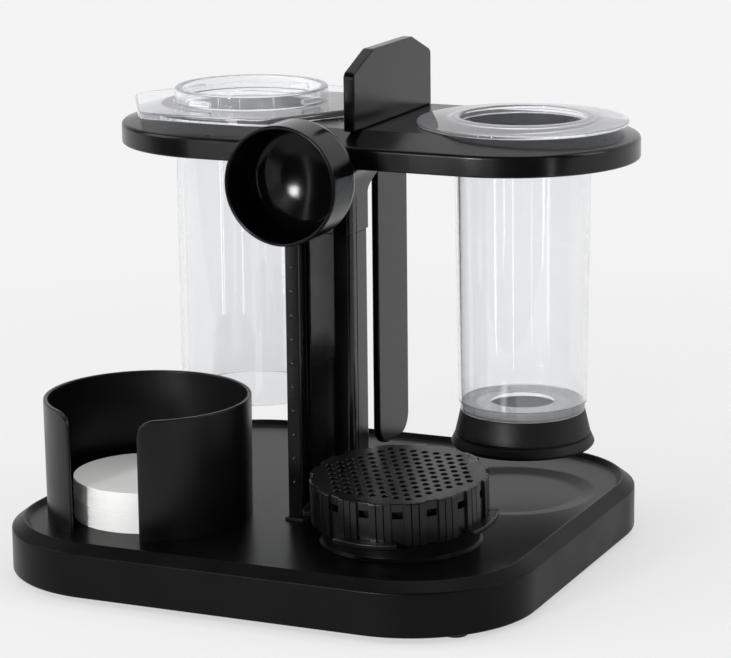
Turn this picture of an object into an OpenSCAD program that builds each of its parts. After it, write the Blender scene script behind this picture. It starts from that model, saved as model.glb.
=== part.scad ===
// Storage stand for a coffee press: a tray base, a post and a ring plate that hangs the
// press chamber and plunger, with places for filters, filter cap, scoop and stirrer.
// X runs along the front edge, Y to the back, Z up. The origin is the middle of the
// footprint, on the surface that the feet stand on.

/* [Base tray] */
// Middle of the tray, just left of the middle of the whole stand
tray_x = -2.75; // [-6:0.05:0]
// Width of the tray
base_w = 228; // [222:1:240]
// Depth of the tray
base_d = 214.5; // [210:0.5:226]
// Plan radius of the tray corners
base_r = 52; // [46:1:56]
// Height of the rubber feet
foot_h = 2; // [1.5:0.5:4]
// Top of the outer wall, where the bevel starts
wall_top = 20.1; // [19:0.1:22]
// Top of the rim
rim_top = 24.1; // [23.5:0.1:26]
// Width of the bevel on the rim
rim_bevel = 5.3; // [4:0.1:8]
// Height of the tray floor
floor_z = 21.6; // [21:0.1:23]

/* [Post] */
// Width of the post
post_w = 27.4; // [24:0.1:28]
// Depth of the post
post_d = 17.6; // [16:0.1:19]
// Front face of the post
post_front = -6; // [-7:0.5:-4]
// Height of the joint between post and bracket
joint_z = 137; // [130:1:142]

/* [Ring plate] */
// Middle of the plate to the right of the middle of the tray
plate_right = 4.2; // [3:0.1:8]
// Middle of the plate from front to back
plate_y = 43.5; // [42:0.5:46]
// Radius of the plate's round ends
plate_r = 54.5; // [52:0.5:57]
// Half the distance between the centres of the round ends
plate_half = 60.8; // [58:0.1:62]
// Underside of the plate
plate_low = 165.3; // [164:0.1:168]
// Top of the plate's upright wall
plate_wall_top = 174.2; // [173:0.1:176]
// Top face of the plate
plate_top = 179; // [178:0.1:181]
// Width of the plate's sloping border
plate_bevel = 17.2; // [14:0.1:18]

/* [Press] */
// How far each axis lies beyond the centre of the plate's round end
ring_out = 2; // [0:0.1:3]
// Middle between the chamber and plunger axes, right of the middle of the plate
ring_right = 2.7; // [0:0.1:3]
// Both axes behind the middle of the plate
ring_back = 2.5; // [0:0.1:4]
// Outer radius of the chamber tube
chamber_r = 33; // [32:0.1:34]
// Wall of the chamber tube
chamber_wall = 3.1; // [2.5:0.1:4]
// Overall height of the chamber
chamber_h = 134.9; // [125:0.1:138]
// Half the width across the flats of the chamber flange
hex_flat = 49.8; // [46:0.1:51]
// Radius of the plunger flange
plunger_flange_r = 44.3; // [40:0.1:46]
// Outer radius of the plunger tube at its top
plunger_r = 29; // [28:0.1:29.5]
// Widest radius of the rubber seal
seal_r = 30.6; // [29.6:0.1:31]

/* [Filters and cap] */
// Filter holder axis from the left edge of the tray
holder_in = 53.3; // [52:0.1:56]
// Filter holder axis from the front edge of the tray
holder_front = 60.55; // [58:0.05:64]
// Outer radius of the filter holder at its rim
holder_r = 43; // [42:0.5:44]
// Height of the filter holder
holder_h = 50.4; // [45:0.1:56]
// Width of the holder's front slot
holder_slot = 31.7; // [24:0.1:40]
// Radius of a paper filter
filter_r = 31.75; // [30:0.25:34]
// Height of the stack of filters
stack_h = 17; // [8:1:30]
// Filter cap axis from the right edge of the tray
cap_in = 63.3; // [58:0.1:66]
// Filter cap axis from the front edge of the tray
cap_front = 64.25; // [62:0.05:68]
// Outer radius of the filter cap
cap_r = 36.2; // [35.8:0.1:37]
// Height of the filter cap
cap_h = 18; // [17:0.1:19]
// How far the cap leans towards the front
cap_tilt = 4.2; // [0:0.1:5]
// Distance between neighbouring holes in the cap
hole_pitch = 5.1; // [4.6:0.1:6]

/* [Scoop and stirrer] */
// Mouth plane of the scoop bowl
scoop_mouth = -45.2; // [-46:0.1:-44]
// Outer radius of the scoop bowl
bowl_r = 24.6; // [22:0.1:26]
// Depth of the scoop bowl, outside
bowl_d = 28.4; // [26:0.1:30]
// Height of the middle of the bowl
bowl_z = 163.1; // [160:0.1:165]
// Width of the stirrer head
stirrer_w = 81.5; // [70:0.5:84]
// Height of the stirrer head above the plate
stirrer_head = 32; // [24:1:40]
// Width of the stirrer blade
blade_w = 31; // [24:1:34]

/* [Hidden] */
$fn = 96;

cut_over = 0.5;
fit_gap = 0.25;
slide_gap = 0.5;
skin = 2.6;
edge_round = 1.2;
weld = 0.5;

tray_wall = 3;
floor_t = 3.6;
cover_t = 2;
cover_lip = 1.4;
cavity_top = floor_z - floor_t;
cavity_low = foot_h + cover_t;
dish_r = 38.4;
dish_run = 1.6;
dish_depth = 1.5;
dish_left = 3.4;
dish_front = 7;

post_r = 2.9;
post_wall = 2.6;
post_y = post_front + post_d / 2;
post_right = 0.4;
post_x = tray_x + post_right;
post_inner_r = 0.6;
plug_r = 1;
plug_h = 8;
stub_h = 16;
groove_w = 0.7;
groove_d = 0.4;
groove_front = 4.9;

rod_r = 2.5;
nut_flat = 4;
nut_h = 4;
washer_r = 5.5;
washer_t = 1;
insert_r = 3.6;
insert_h = 10;
insert_low = joint_z + 2;
rod_boss_r = 7.4;
nut_z = foot_h + cover_t + 2;
washer_z = nut_z + nut_h;
rod_low = nut_z - 1;
rod_top = insert_low + insert_h;

plate_x = tray_x + plate_right;
plate_step = 6.4;
plate_thin = 0.5;
ring_pitch = 2 * (plate_half + ring_out);
ring_x = plate_x + ring_right;
ring_y = plate_y + ring_back;
chamber_x = ring_x - ring_pitch / 2;
plunger_x = ring_x + ring_pitch / 2;
dish_x = plunger_x - dish_left;
dish_y = ring_y - dish_front;
ring_wall = 2.6;
chamber_hole = chamber_r + slide_gap;
plunger_gap = 0.5;
plunger_hole = seal_r + plunger_gap;

stirrer_x = 8.75;
stirrer_y = 39.4;
stirrer_t = 5;
blade_t = 3.1;
blade_low = 39;
blade_corner = 9;
head_top = plate_top + stirrer_head;
head_run = 20;
head_drop = 8;

bracket_proud = 1.9;
bracket_foot = 152;
bracket_reach = 37;
bracket_steps = 14;
bracket_fillet = 6.7;
bracket_side_in = 0.6;

hex_t = 3.2;
hex_round = 56.4;
collar_r = chamber_r + 0.2;
chamber_top = plate_top + 9.4;
chamber_low = chamber_top - chamber_h;
chamber_bore = chamber_r - chamber_wall;
lug_out = 1.7;
lug_h = 2.2;
lug_z = plate_top + 4.4;
lug_angle = 20;
lug_root = 0.5;
lug_count = 4;
lug_first = -15;

flange_edge = 1.6;
flange_top = plate_top + 3.4;
flange_crown = 29;
tube_low = 60.3;
tube_draft = 1.75;
tube_foot_r = plunger_r - tube_draft;
tube_wall = 2.5;
tube_bore = plunger_r - tube_wall;
bore_draft = 0.6;
foot_step = 0.75;
plug_ring_r = tube_foot_r - foot_step;
disc_t = 3.9;
disc_hole = 13.6;
stub_r = 20;
stub_low = 44;

seal_top = tube_low - disc_t;
seal_h = 15.4;
seal_low = seal_top - seal_h;
seal_flat_r = 20;
seal_rise = 0.6;
seal_lip = 1;
seal_lip_h = 1.4;
seal_band = 4.6;
seal_waist = 1.8;
seal_step = 0.4;
seal_groove = 0.5;
seal_groove_h = 0.9;
seal_bed = 2;

holder_wall = 1.8;
holder_taper = 0.4;
slot_round = 7;
tab_t = 1.6;
tab_root = 1;
tab_w = 6;
tab_h = 2.4;
tab_turns = [60, 180, 300];
bundles = 9;
bundle_shift = 0.35;
bundle_gap = 0.05;

holder_x = tray_x - base_w / 2 + holder_in;
holder_y = -base_d / 2 + holder_front;
cap_x = tray_x + base_w / 2 - cap_in;
cap_y = -base_d / 2 + cap_front;
cap_lift = 9.4;
cap_top = floor_z + cap_lift + cap_h;
cap_disc = 2;
cap_wall = 1.8;
cap_teeth = 16;
cap_turn = 10.75;
tooth_angle = 14.5;
tooth_out = 1.1;
tooth_root = 0.5;
window_angle = 7;
window_h = 3;
window_drop = 3.6;
cap_hole_r = 1.45;
cap_grid_r = 31;
cap_rings = 7;
cap_lug_r = cap_r + 3.7;
cap_lug_h = 2.3;
cap_lug_angle = 41;
cap_lug_first = -89.5;
boss_r = 31.8;
boss_foot = 1.2;
boss_right = 0.6;
boss_back = 0.5;
boss_x = cap_x + boss_right;
boss_y = cap_y + boss_back;
boss_wall = 3;
boss_top = cap_top - cap_disc / cos(cap_tilt);

bowl_wall = 1.6;
dome_r = 11;
handle_right = 0.4;
handle_x = tray_x + handle_right;
handle_front = -35;
handle_back = -22;
handle_w = 5.8;
handle_rear_w = 5.2;
flange_t = 1.5;
web_t = 1.8;
handle_low = 18;
pip_r = 0.9;
pip_step = 10.05;
pip_low = 37.9;
pips = 10;
socket_rim = 1;
socket_wall = 2;
socket_top = floor_z + 1.2;

foot_r = 5;
foot_sunk = 1;
foot_clear = 0.75;
foot_turn = 45;
foot_ring = base_r - tray_wall - foot_r - foot_clear;
foot_x = base_w / 2 - base_r + foot_ring * cos(foot_turn);
foot_y = base_d / 2 - base_r + foot_ring * sin(foot_turn);
screw_in = 44;
screw_front = 29.25;
screw_x = base_w / 2 - screw_in;
screw_y = base_d / 2 - screw_front;
screw_r = 1.5;
screw_head_r = 2.8;
screw_head_h = 1.2;
screw_len = 12;
screw_boss_r = 4.5;
screw_tip = 2;

black = [0.05, 0.05, 0.055];
satin = [0.09, 0.09, 0.1];
rubber = [0.03, 0.03, 0.03];
clear = [0.85, 0.88, 0.92, 0.45];
steel = [0.7, 0.7, 0.72];
brass = [0.75, 0.6, 0.3];
paper = [0.93, 0.92, 0.88];

// Plates with round ends or corners

module at_corners(w, d, r) {
    for (x = [-1, 1], y = [-1, 1])
        translate([x * (w / 2 - r), y * (d / 2 - r), 0])
            children();
}

// A rounded slab whose sides lean in by inset over its height
module rounded_slab(w, d, r, h, inset = 0) {
    at_corners(w, d, r)
        cylinder(h = h, r1 = r, r2 = r - inset);
    rotate([90, 0, 90])
        translate([0, 0, -(w / 2 - r)])
            linear_extrude(w - 2 * r)
                polygon([[-d / 2, 0], [d / 2, 0], [d / 2 - inset, h], [-d / 2 + inset, h]]);
    rotate([90, 0, 0])
        translate([0, 0, -(d / 2 - r)])
            linear_extrude(d - 2 * r)
                polygon([[-w / 2, 0], [w / 2, 0], [w / 2 - inset, h], [-w / 2 + inset, h]]);
}

// A slab with two round ends of radius r, half apart from its middle
module stadium_slab(half, r, h, inset = 0) {
    for (x = [-half, half])
        translate([x, 0, 0])
            cylinder(h = h, r1 = r, r2 = r - inset);
    rotate([90, 0, 90])
        translate([0, 0, -half])
            linear_extrude(2 * half)
                polygon([[-r, 0], [r, 0], [r - inset, h], [-r + inset, h]]);
}

module at_ring(x) {
    translate([x, ring_y, 0])
        children();
}

// Base tray

module tray_skin() {
    translate([tray_x, 0, foot_h]) {
        rounded_slab(base_w - 2 * edge_round, base_d - 2 * edge_round, base_r - edge_round,
            edge_round, -edge_round);
        translate([0, 0, edge_round])
            rounded_slab(base_w, base_d, base_r, wall_top - foot_h - edge_round);
    }
    translate([tray_x, 0, wall_top])
        rounded_slab(base_w, base_d, base_r, rim_top - wall_top, rim_bevel);
}

// The sunken floor, with a soft slope up to the rim
module tray_recess() {
    slope = rim_top - floor_z;
    inner_w = base_w - 2 * rim_bevel;
    inner_d = base_d - 2 * rim_bevel;
    inner_r = base_r - rim_bevel;
    translate([tray_x, 0, rim_top])
        mirror([0, 0, 1])
            rounded_slab(inner_w, inner_d, inner_r, slope, slope);
    translate([tray_x, 0, rim_top - cut_over / 2])
        rounded_slab(inner_w, inner_d, inner_r, cut_over);
    translate([dish_x, dish_y, floor_z - dish_depth])
        cylinder(h = dish_depth, r1 = dish_r - dish_run, r2 = dish_r);
}

module tray_cavity() {
    translate([tray_x, 0, foot_h - cut_over])
        rounded_slab(base_w - 2 * tray_wall, base_d - 2 * tray_wall, base_r - tray_wall,
            cavity_top - foot_h + cut_over);
}

// A cylinder whose top leans like the cap that rests on it
module leaning_cylinder(r, low, top) {
    difference() {
        translate([boss_x, boss_y, low])
            cylinder(h = top - low + r, r = r);
        translate([cap_x, cap_y, top])
            rotate([cap_tilt, 0, 0])
                translate([0, 0, r])
                    cube([4 * r, 4 * r, 2 * r], center = true);
    }
}

module cap_boss() {
    leaning_cylinder(boss_r, floor_z - floor_t / 2, boss_top);
    translate([boss_x, boss_y, floor_z])
        cylinder(h = boss_foot, r1 = boss_r + boss_foot, r2 = boss_r);
}

module socket_block(rim, low, top) {
    translate([handle_x - handle_w / 2 - fit_gap - rim, handle_front - fit_gap - rim, low])
        cube([handle_w + 2 * (fit_gap + rim), handle_back - handle_front + 2 * (fit_gap + rim),
            top - low]);
}

module scoop_socket() {
    socket_block(socket_wall, handle_low - socket_wall, floor_z - weld);
    socket_block(socket_rim, cavity_top, socket_top);
}

module scoop_pocket() {
    translate([handle_x - handle_w / 2 - fit_gap, handle_front - fit_gap, handle_low])
        cube([handle_w + 2 * fit_gap, handle_back - handle_front + 2 * fit_gap,
            socket_top - handle_low + cut_over]);
}

module post_section(inset) {
    translate([post_x, post_y, 0])
        rounded_slab(post_w - 2 * inset, post_d - 2 * inset, max(post_r - inset, post_inner_r),
            joint_z - floor_z);
}

// The plug that the foot of the post drops over
module post_plug() {
    translate([post_x, post_y, cavity_top])
        rounded_slab(post_w - 2 * (post_wall + fit_gap), post_d - 2 * (post_wall + fit_gap),
            plug_r, floor_z + plug_h - cavity_top);
    translate([post_x, post_y, washer_z + washer_t])
        cylinder(h = cavity_top - washer_z - washer_t, r = rod_boss_r);
}

module at_screws() {
    for (x = [-1, 1], y = [-1, 1])
        translate([tray_x + x * screw_x, y * screw_y, 0])
            children();
}

module at_tabs() {
    for (a = tab_turns)
        translate([holder_x, holder_y, 0])
            rotate([0, 0, a - 90])
                translate([holder_r - holder_taper - holder_wall, 0, 0])
                    children();
}

module base_tray() {
    color(satin)
        difference() {
            union() {
                difference() {
                    union() {
                        difference() {
                            tray_skin();
                            tray_recess();
                        }
                        cap_boss();
                    }
                    tray_cavity();
                    leaning_cylinder(boss_r - boss_wall, cavity_top - cut_over,
                        boss_top - boss_wall);
                }
                scoop_socket();
                post_plug();
                at_screws()
                    translate([0, 0, cavity_low])
                        cylinder(h = cavity_top - cavity_low + floor_t / 2, r = screw_boss_r);
            }
            scoop_pocket();
            translate([post_x, post_y, 0])
                cylinder(h = floor_z + plug_h + cut_over, r = rod_r + fit_gap);
            at_screws()
                translate([0, 0, cavity_low - cut_over])
                    cylinder(h = screw_len, r = screw_r);
            at_tabs()
                translate([-fit_gap, -tab_w / 2 - fit_gap, floor_z - tab_h - fit_gap])
                    cube([holder_wall + 2 * fit_gap, tab_w + 2 * fit_gap,
                        tab_h + fit_gap + cut_over]);
        }
}

module bottom_cover() {
    color(black)
        difference() {
            translate([tray_x, 0, foot_h])
                rounded_slab(base_w - 2 * (tray_wall + fit_gap),
                    base_d - 2 * (tray_wall + fit_gap), base_r - tray_wall - fit_gap, cover_t);
            at_screws() {
                translate([0, 0, foot_h - cut_over])
                    cylinder(h = cover_t + 2 * cut_over, r = screw_r + fit_gap);
                translate([0, 0, foot_h - cut_over])
                    cylinder(h = screw_head_h + cut_over, r = screw_head_r + fit_gap);
            }
            for (x = [-foot_x, foot_x], y = [-foot_y, foot_y])
                translate([tray_x + x, y, foot_h - cut_over])
                    cylinder(h = foot_sunk + cut_over, r = foot_r);
        }
}

module cover_screws() {
    color(steel)
        at_screws() {
            translate([0, 0, foot_h])
                cylinder(h = screw_head_h, r = screw_head_r);
            translate([0, 0, foot_h])
                cylinder(h = screw_len - screw_tip, r = screw_r);
        }
}

module foot(side, end) {
    color(rubber)
        translate([tray_x + side * foot_x, end * foot_y, 0])
            cylinder(h = foot_h + foot_sunk, r = foot_r);
}

// Post and the rod that clamps it

module side_grooves(low, high) {
    for (x = [-post_w / 2, post_w / 2 - groove_d])
        translate([x, post_front + groove_front, low])
            cube([groove_d, groove_w, high - low]);
}

module post() {
    color(black)
        difference() {
            translate([0, 0, floor_z])
                post_section(0);
            translate([0, 0, floor_z - cut_over])
                post_section(post_wall);
            translate([0, 0, floor_z + cut_over])
                post_section(post_wall);
            side_grooves(floor_z - cut_over, joint_z + cut_over);
        }
}

module tie_rod() {
    color(steel)
        translate([post_x, post_y, rod_low])
            cylinder(h = rod_top - rod_low, r = rod_r);
}

module tie_nut() {
    color(steel)
        translate([post_x, post_y, nut_z])
            difference() {
                cylinder(h = nut_h, r = nut_flat / cos(30), $fn = 6);
                translate([0, 0, -cut_over])
                    cylinder(h = nut_h + 2 * cut_over, r = rod_r);
            }
}

module tie_washer() {
    color(steel)
        translate([post_x, post_y, washer_z])
            difference() {
                cylinder(h = washer_t, r = washer_r);
                translate([0, 0, -cut_over])
                    cylinder(h = washer_t + 2 * cut_over, r = rod_r + fit_gap);
            }
}

module thread_insert() {
    color(brass)
        translate([post_x, post_y, insert_low])
            difference() {
                cylinder(h = insert_h, r = insert_r);
                translate([0, 0, -cut_over])
                    cylinder(h = insert_h + 2 * cut_over, r = rod_r);
            }
}

// Ring plate with its bracket

// The bracket's back edge flares into the plate along a parabola
function flare(t) = [post_front + post_d + bracket_proud + bracket_reach * t * t,
    bracket_foot + (plate_low - bracket_foot) * t];

// A hollow fillet between each side of the bracket and the underside of the plate
module bracket_sides(low, top) {
    half = post_w / 2;
    front = post_front + post_r + bracket_side_in;
    depth = flare(1)[0] - front;
    translate([post_x, front, 0])
        rotate([90, 0, 180])
            linear_extrude(depth)
                difference() {
                    translate([-half - bracket_fillet, low])
                        square([post_w + 2 * bracket_fillet, top - low]);
                    for (s = [-1, 1])
                        translate([s * (half + bracket_fillet), low])
                            circle(r = bracket_fillet);
                }
}

module bracket() {
    top = plate_top - skin / 2;
    back = post_front + post_d;
    translate([post_x, post_y + bracket_proud / 2, joint_z])
        rounded_slab(post_w, post_d + bracket_proud, post_r, top - joint_z);
    translate([post_x - post_w / 2, 0, 0])
        rotate([90, 0, 90])
            linear_extrude(post_w)
                polygon(concat(
                    [[back - post_r, top], [back - post_r, bracket_foot]],
                    [for (i = [0 : bracket_steps]) flare(i / bracket_steps)],
                    [[flare(1)[0], top]]));
    bracket_sides(plate_low - bracket_fillet, plate_low + skin);
}

// The stub that the top of the post slides over
module post_stub() {
    translate([post_x, post_y, joint_z - stub_h])
        rounded_slab(post_w - 2 * (post_wall + fit_gap), post_d - 2 * (post_wall + fit_gap),
            plug_r, stub_h + weld);
}

module plate_skin() {
    translate([plate_x, plate_y, plate_low]) {
        stadium_slab(plate_half, plate_r, plate_wall_top - plate_low);
        translate([0, 0, plate_wall_top - plate_low])
            stadium_slab(plate_half, plate_r, plate_top - plate_wall_top, plate_bevel);
    }
}

module plate_cavity() {
    translate([plate_x, plate_y, plate_low - cut_over])
        stadium_slab(plate_half, plate_r - skin, plate_step + cut_over);
    translate([plate_x, plate_y, plate_low + plate_step])
        stadium_slab(plate_half, plate_r - skin, plate_top - skin - plate_low - plate_step,
            plate_bevel - plate_thin);
}

// The plate's outline and all the space under it
module bracket_room() {
    plate_skin();
    translate([plate_x, plate_y, joint_z - cut_over])
        stadium_slab(plate_half, plate_r, plate_low - joint_z + 2 * cut_over);
}

module stirrer_slot(gap, low, high) {
    translate([stirrer_x - blade_t / 2 - gap, stirrer_y - blade_w / 2 - gap, low])
        cube([blade_t + 2 * gap, blade_w + 2 * gap, high - low]);
}

module ring_plate() {
    color(black)
        difference() {
            union() {
                difference() {
                    plate_skin();
                    plate_cavity();
                }
                at_ring(chamber_x)
                    translate([0, 0, plate_low])
                        cylinder(h = plate_top - plate_low - skin / 2, r = chamber_hole + ring_wall);
                at_ring(plunger_x)
                    translate([0, 0, plate_low])
                        cylinder(h = plate_top - plate_low - skin / 2, r = plunger_hole + ring_wall);
                stirrer_slot(slide_gap + skin, plate_low, plate_top - skin / 2);
                intersection() {
                    bracket();
                    bracket_room();
                }
                post_stub();
            }
            at_ring(chamber_x)
                translate([0, 0, plate_low - cut_over])
                    cylinder(h = plate_top - plate_low + 2 * cut_over, r = chamber_hole);
            at_ring(plunger_x)
                translate([0, 0, plate_low - cut_over])
                    cylinder(h = plate_top - plate_low + 2 * cut_over, r = plunger_hole);
            stirrer_slot(slide_gap, bracket_foot, plate_top + cut_over);
            side_grooves(joint_z - cut_over, bracket_foot);
            translate([post_x, post_y, joint_z - stub_h - cut_over])
                cylinder(h = insert_low - joint_z + stub_h + 2 * cut_over, r = rod_r + fit_gap);
            translate([post_x, post_y, insert_low])
                cylinder(h = insert_h, r = insert_r);
        }
}

// Filters

module slot_profile() {
    width = holder_slot;
    translate([-width / 2, -cut_over])
        square([width, holder_h + 2 * cut_over]);
    for (s = [-1, 1])
        translate([s * width / 2, holder_h])
            difference() {
                translate([s > 0 ? -cut_over : -slot_round, -slot_round])
                    square([slot_round + cut_over, slot_round + cut_over]);
                translate([s * slot_round, -slot_round])
                    circle(r = slot_round);
            }
}

module filter_holder() {
    color(satin) {
        translate([holder_x, holder_y, floor_z])
            difference() {
                cylinder(h = holder_h, r1 = holder_r - holder_taper, r2 = holder_r);
                translate([0, 0, -cut_over])
                    cylinder(h = holder_h + 2 * cut_over,
                        r1 = holder_r - holder_taper - holder_wall, r2 = holder_r - holder_wall);
                rotate([90, 0, 0])
                    linear_extrude(holder_r + cut_over)
                        slot_profile();
            }
        at_tabs()
            translate([0, -tab_w / 2, floor_z - tab_h])
                cube([tab_t, tab_w, tab_h + tab_root]);
    }
}

module paper_filters() {
    each_h = stack_h / bundles;
    color(paper)
        for (i = [0 : bundles - 1])
            translate([holder_x + bundle_shift * sin(i * 110),
                    holder_y + bundle_shift * cos(i * 75), floor_z + i * each_h])
                cylinder(h = each_h - bundle_gap, r = filter_r);
}

// Filter cap

// A sector of a ring, centred on the direction turn
module ring_sector(r_in, r_out, h, turn, angle) {
    rotate([0, 0, turn - angle / 2])
        rotate_extrude(angle = angle)
            translate([r_in, 0])
                square([r_out - r_in, h]);
}

module cap_holes() {
    row = hole_pitch * sin(60);
    for (j = [-cap_rings : cap_rings], i = [-cap_rings : cap_rings]) {
        x = (i + (abs(j) % 2) / 2) * hole_pitch;
        y = j * row;
        if (norm([x, y]) < cap_grid_r)
            translate([x, y, -cut_over])
                cylinder(h = cap_disc + 2 * cut_over, r = cap_hole_r);
    }
}

module cap_outside() {
    cylinder(h = cap_h, r = cap_r - tooth_out);
    for (i = [0 : cap_teeth - 1])
        ring_sector(cap_r - tooth_out - tooth_root, cap_r, cap_h,
            cap_turn + i * 360 / cap_teeth, tooth_angle);
    for (i = [0 : lug_count - 1])
        ring_sector(cap_r - tooth_out - tooth_root, cap_lug_r, cap_lug_h,
            cap_lug_first + i * 360 / lug_count, cap_lug_angle);
}

module cap_windows() {
    for (i = [0 : cap_teeth - 1])
        translate([0, 0, cap_h - window_drop - window_h])
            ring_sector(cap_r - tooth_out - cap_wall - tooth_root, cap_r + cut_over, window_h,
                cap_turn + (i + 0.5) * 360 / cap_teeth, window_angle);
}

module filter_cap() {
    color(black)
        translate([cap_x, cap_y, cap_top])
            rotate([cap_tilt, 0, 0])
                translate([0, 0, -cap_h])
                    difference() {
                        cap_outside();
                        translate([0, 0, -cut_over])
                            cylinder(h = cap_h - cap_disc + cut_over,
                                r = cap_r - tooth_out - cap_wall);
                        translate([0, 0, cap_h - cap_disc])
                            cap_holes();
                        cap_windows();
                    }
}

// Press

module chamber() {
    color(clear)
        at_ring(chamber_x)
            difference() {
                union() {
                    translate([0, 0, chamber_low])
                        cylinder(h = chamber_top - chamber_low, r = chamber_r);
                    translate([0, 0, plate_top])
                        intersection() {
                            cylinder(h = hex_t, r = hex_flat / cos(30), $fn = 6);
                            cylinder(h = hex_t, r = hex_round);
                        }
                    translate([0, 0, plate_top])
                        cylinder(h = chamber_top - plate_top, r = collar_r);
                    for (i = [0 : lug_count - 1])
                        translate([0, 0, lug_z])
                            ring_sector(chamber_r - lug_root, collar_r + lug_out, lug_h,
                                lug_first - 90 + i * 360 / lug_count, lug_angle);
                }
                translate([0, 0, chamber_low - cut_over])
                    cylinder(h = chamber_h + 2 * cut_over, r = chamber_bore);
            }
}

module plunger_tube() {
    color(clear)
        at_ring(plunger_x)
            difference() {
                union() {
                    translate([0, 0, tube_low - disc_t])
                        cylinder(h = disc_t + weld, r = plug_ring_r);
                    translate([0, 0, tube_low])
                        cylinder(h = plate_top - tube_low, r1 = tube_foot_r, r2 = plunger_r);
                    translate([0, 0, plate_top])
                        cylinder(h = flange_edge, r = plunger_flange_r);
                    translate([0, 0, plate_top + flange_edge])
                        cylinder(h = flange_top - plate_top - flange_edge,
                            r1 = plunger_flange_r, r2 = flange_crown);
                    translate([0, 0, stub_low])
                        cylinder(h = tube_low - stub_low - seal_bed, r = stub_r);
                }
                translate([0, 0, tube_low])
                    cylinder(h = flange_top - tube_low + cut_over, r1 = tube_bore - bore_draft,
                        r2 = tube_bore);
                translate([0, 0, stub_low - cut_over])
                    cylinder(h = tube_low - stub_low + 2 * cut_over, r = disc_hole);
            }
}

// Half the section of the seal, from its face up to the disc above it
module seal_section() {
    band_top = seal_low + seal_band;
    waist = seal_r - seal_waist;
    polygon([
        [0, seal_low + seal_rise], [seal_flat_r, seal_low], [seal_r - seal_lip, seal_low],
        [seal_r, seal_low + seal_lip_h], [waist + seal_step, band_top],
        [waist - seal_groove, band_top + seal_groove_h / 3],
        [waist - seal_groove, band_top + seal_groove_h * 2 / 3],
        [waist, band_top + seal_groove_h], [plug_ring_r, seal_top], [stub_r, seal_top],
        [stub_r, stub_low], [disc_hole, stub_low], [disc_hole, tube_low - seal_bed],
        [0, tube_low - seal_bed]
    ]);
}

module plunger_seal() {
    color(rubber)
        at_ring(plunger_x)
            rotate_extrude()
                seal_section();
}

// Scoop

module bowl_profile(r, depth, round) {
    square([r, depth - round]);
    square([r - round, depth]);
    translate([r - round, depth - round])
        circle(r = round);
}

module bowl_solid(r, depth, round) {
    translate([handle_x, scoop_mouth, bowl_z])
        rotate([-90, 0, 0])
            rotate_extrude()
                intersection() {
                    bowl_profile(r, depth, round);
                    square([r, depth]);
                }
}

module handle() {
    high = bowl_z - bowl_r + 2 * bowl_wall;
    depth = handle_back - handle_front;
    translate([handle_x, handle_front, handle_low]) {
        translate([-handle_w / 2, 0, 0])
            cube([handle_w, flange_t, high - handle_low]);
        translate([-web_t / 2, 0, 0])
            cube([web_t, depth, high - handle_low]);
        translate([-handle_rear_w / 2, depth - flange_t, 0])
            cube([handle_rear_w, flange_t, high - handle_low]);
    }
    for (i = [0 : pips - 1])
        translate([handle_x, handle_front, pip_low + i * pip_step])
            sphere(r = pip_r, $fn = 24);
}

module scoop() {
    color(black)
        difference() {
            union() {
                bowl_solid(bowl_r, bowl_d, dome_r);
                handle();
            }
            translate([0, -cut_over, 0])
                bowl_solid(bowl_r - bowl_wall, bowl_d - bowl_wall + cut_over, dome_r - bowl_wall);
        }
}

// Stirrer

module stirrer_head_outline() {
    half = stirrer_w / 2;
    polygon([
        [-half, plate_top], [half, plate_top], [half, head_top - head_drop],
        [half - head_run, head_top], [-half + head_run, head_top], [-half, head_top - head_drop]
    ]);
}

module blade_outline() {
    half = blade_w / 2;
    translate([-half, blade_low + blade_corner])
        square([blade_w, plate_top - blade_low - blade_corner + weld]);
    translate([-half + blade_corner, blade_low])
        square([blade_w - 2 * blade_corner, blade_corner + weld]);
    for (s = [-1, 1])
        translate([s * (half - blade_corner), blade_low + blade_corner])
            circle(r = blade_corner);
}

module stirrer() {
    color(black) {
        translate([stirrer_x - stirrer_t / 2, stirrer_y, 0])
            rotate([90, 0, 90])
                linear_extrude(stirrer_t)
                    stirrer_head_outline();
        translate([stirrer_x - blade_t / 2, stirrer_y, 0])
            rotate([90, 0, 90])
                linear_extrude(blade_t)
                    blade_outline();
    }
}

base_tray();
bottom_cover();
cover_screws();
foot(-1, -1);  // foot_front_left
foot(1, -1);  // foot_front_right
foot(-1, 1);  // foot_rear_left
foot(1, 1);  // foot_rear_right
post();
ring_plate();
tie_rod();
tie_nut();
tie_washer();
thread_insert();
filter_holder();
paper_filters();
filter_cap();
chamber();
plunger_tube();
plunger_seal();
scoop();
stirrer();
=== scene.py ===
"""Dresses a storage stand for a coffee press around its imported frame.

Sizes and places are in millimetres, in the frame's axes: X along the front edge, Y to the
back, Z up. They turn into metres where a mesh is made.
"""

import logging
import math
import random
from collections.abc import Callable, Iterable, Sequence
from dataclasses import dataclass
from enum import Enum

import bmesh
import bpy
from mathutils import Matrix, Vector
from mathutils.geometry import delaunay_2d_cdt


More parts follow.
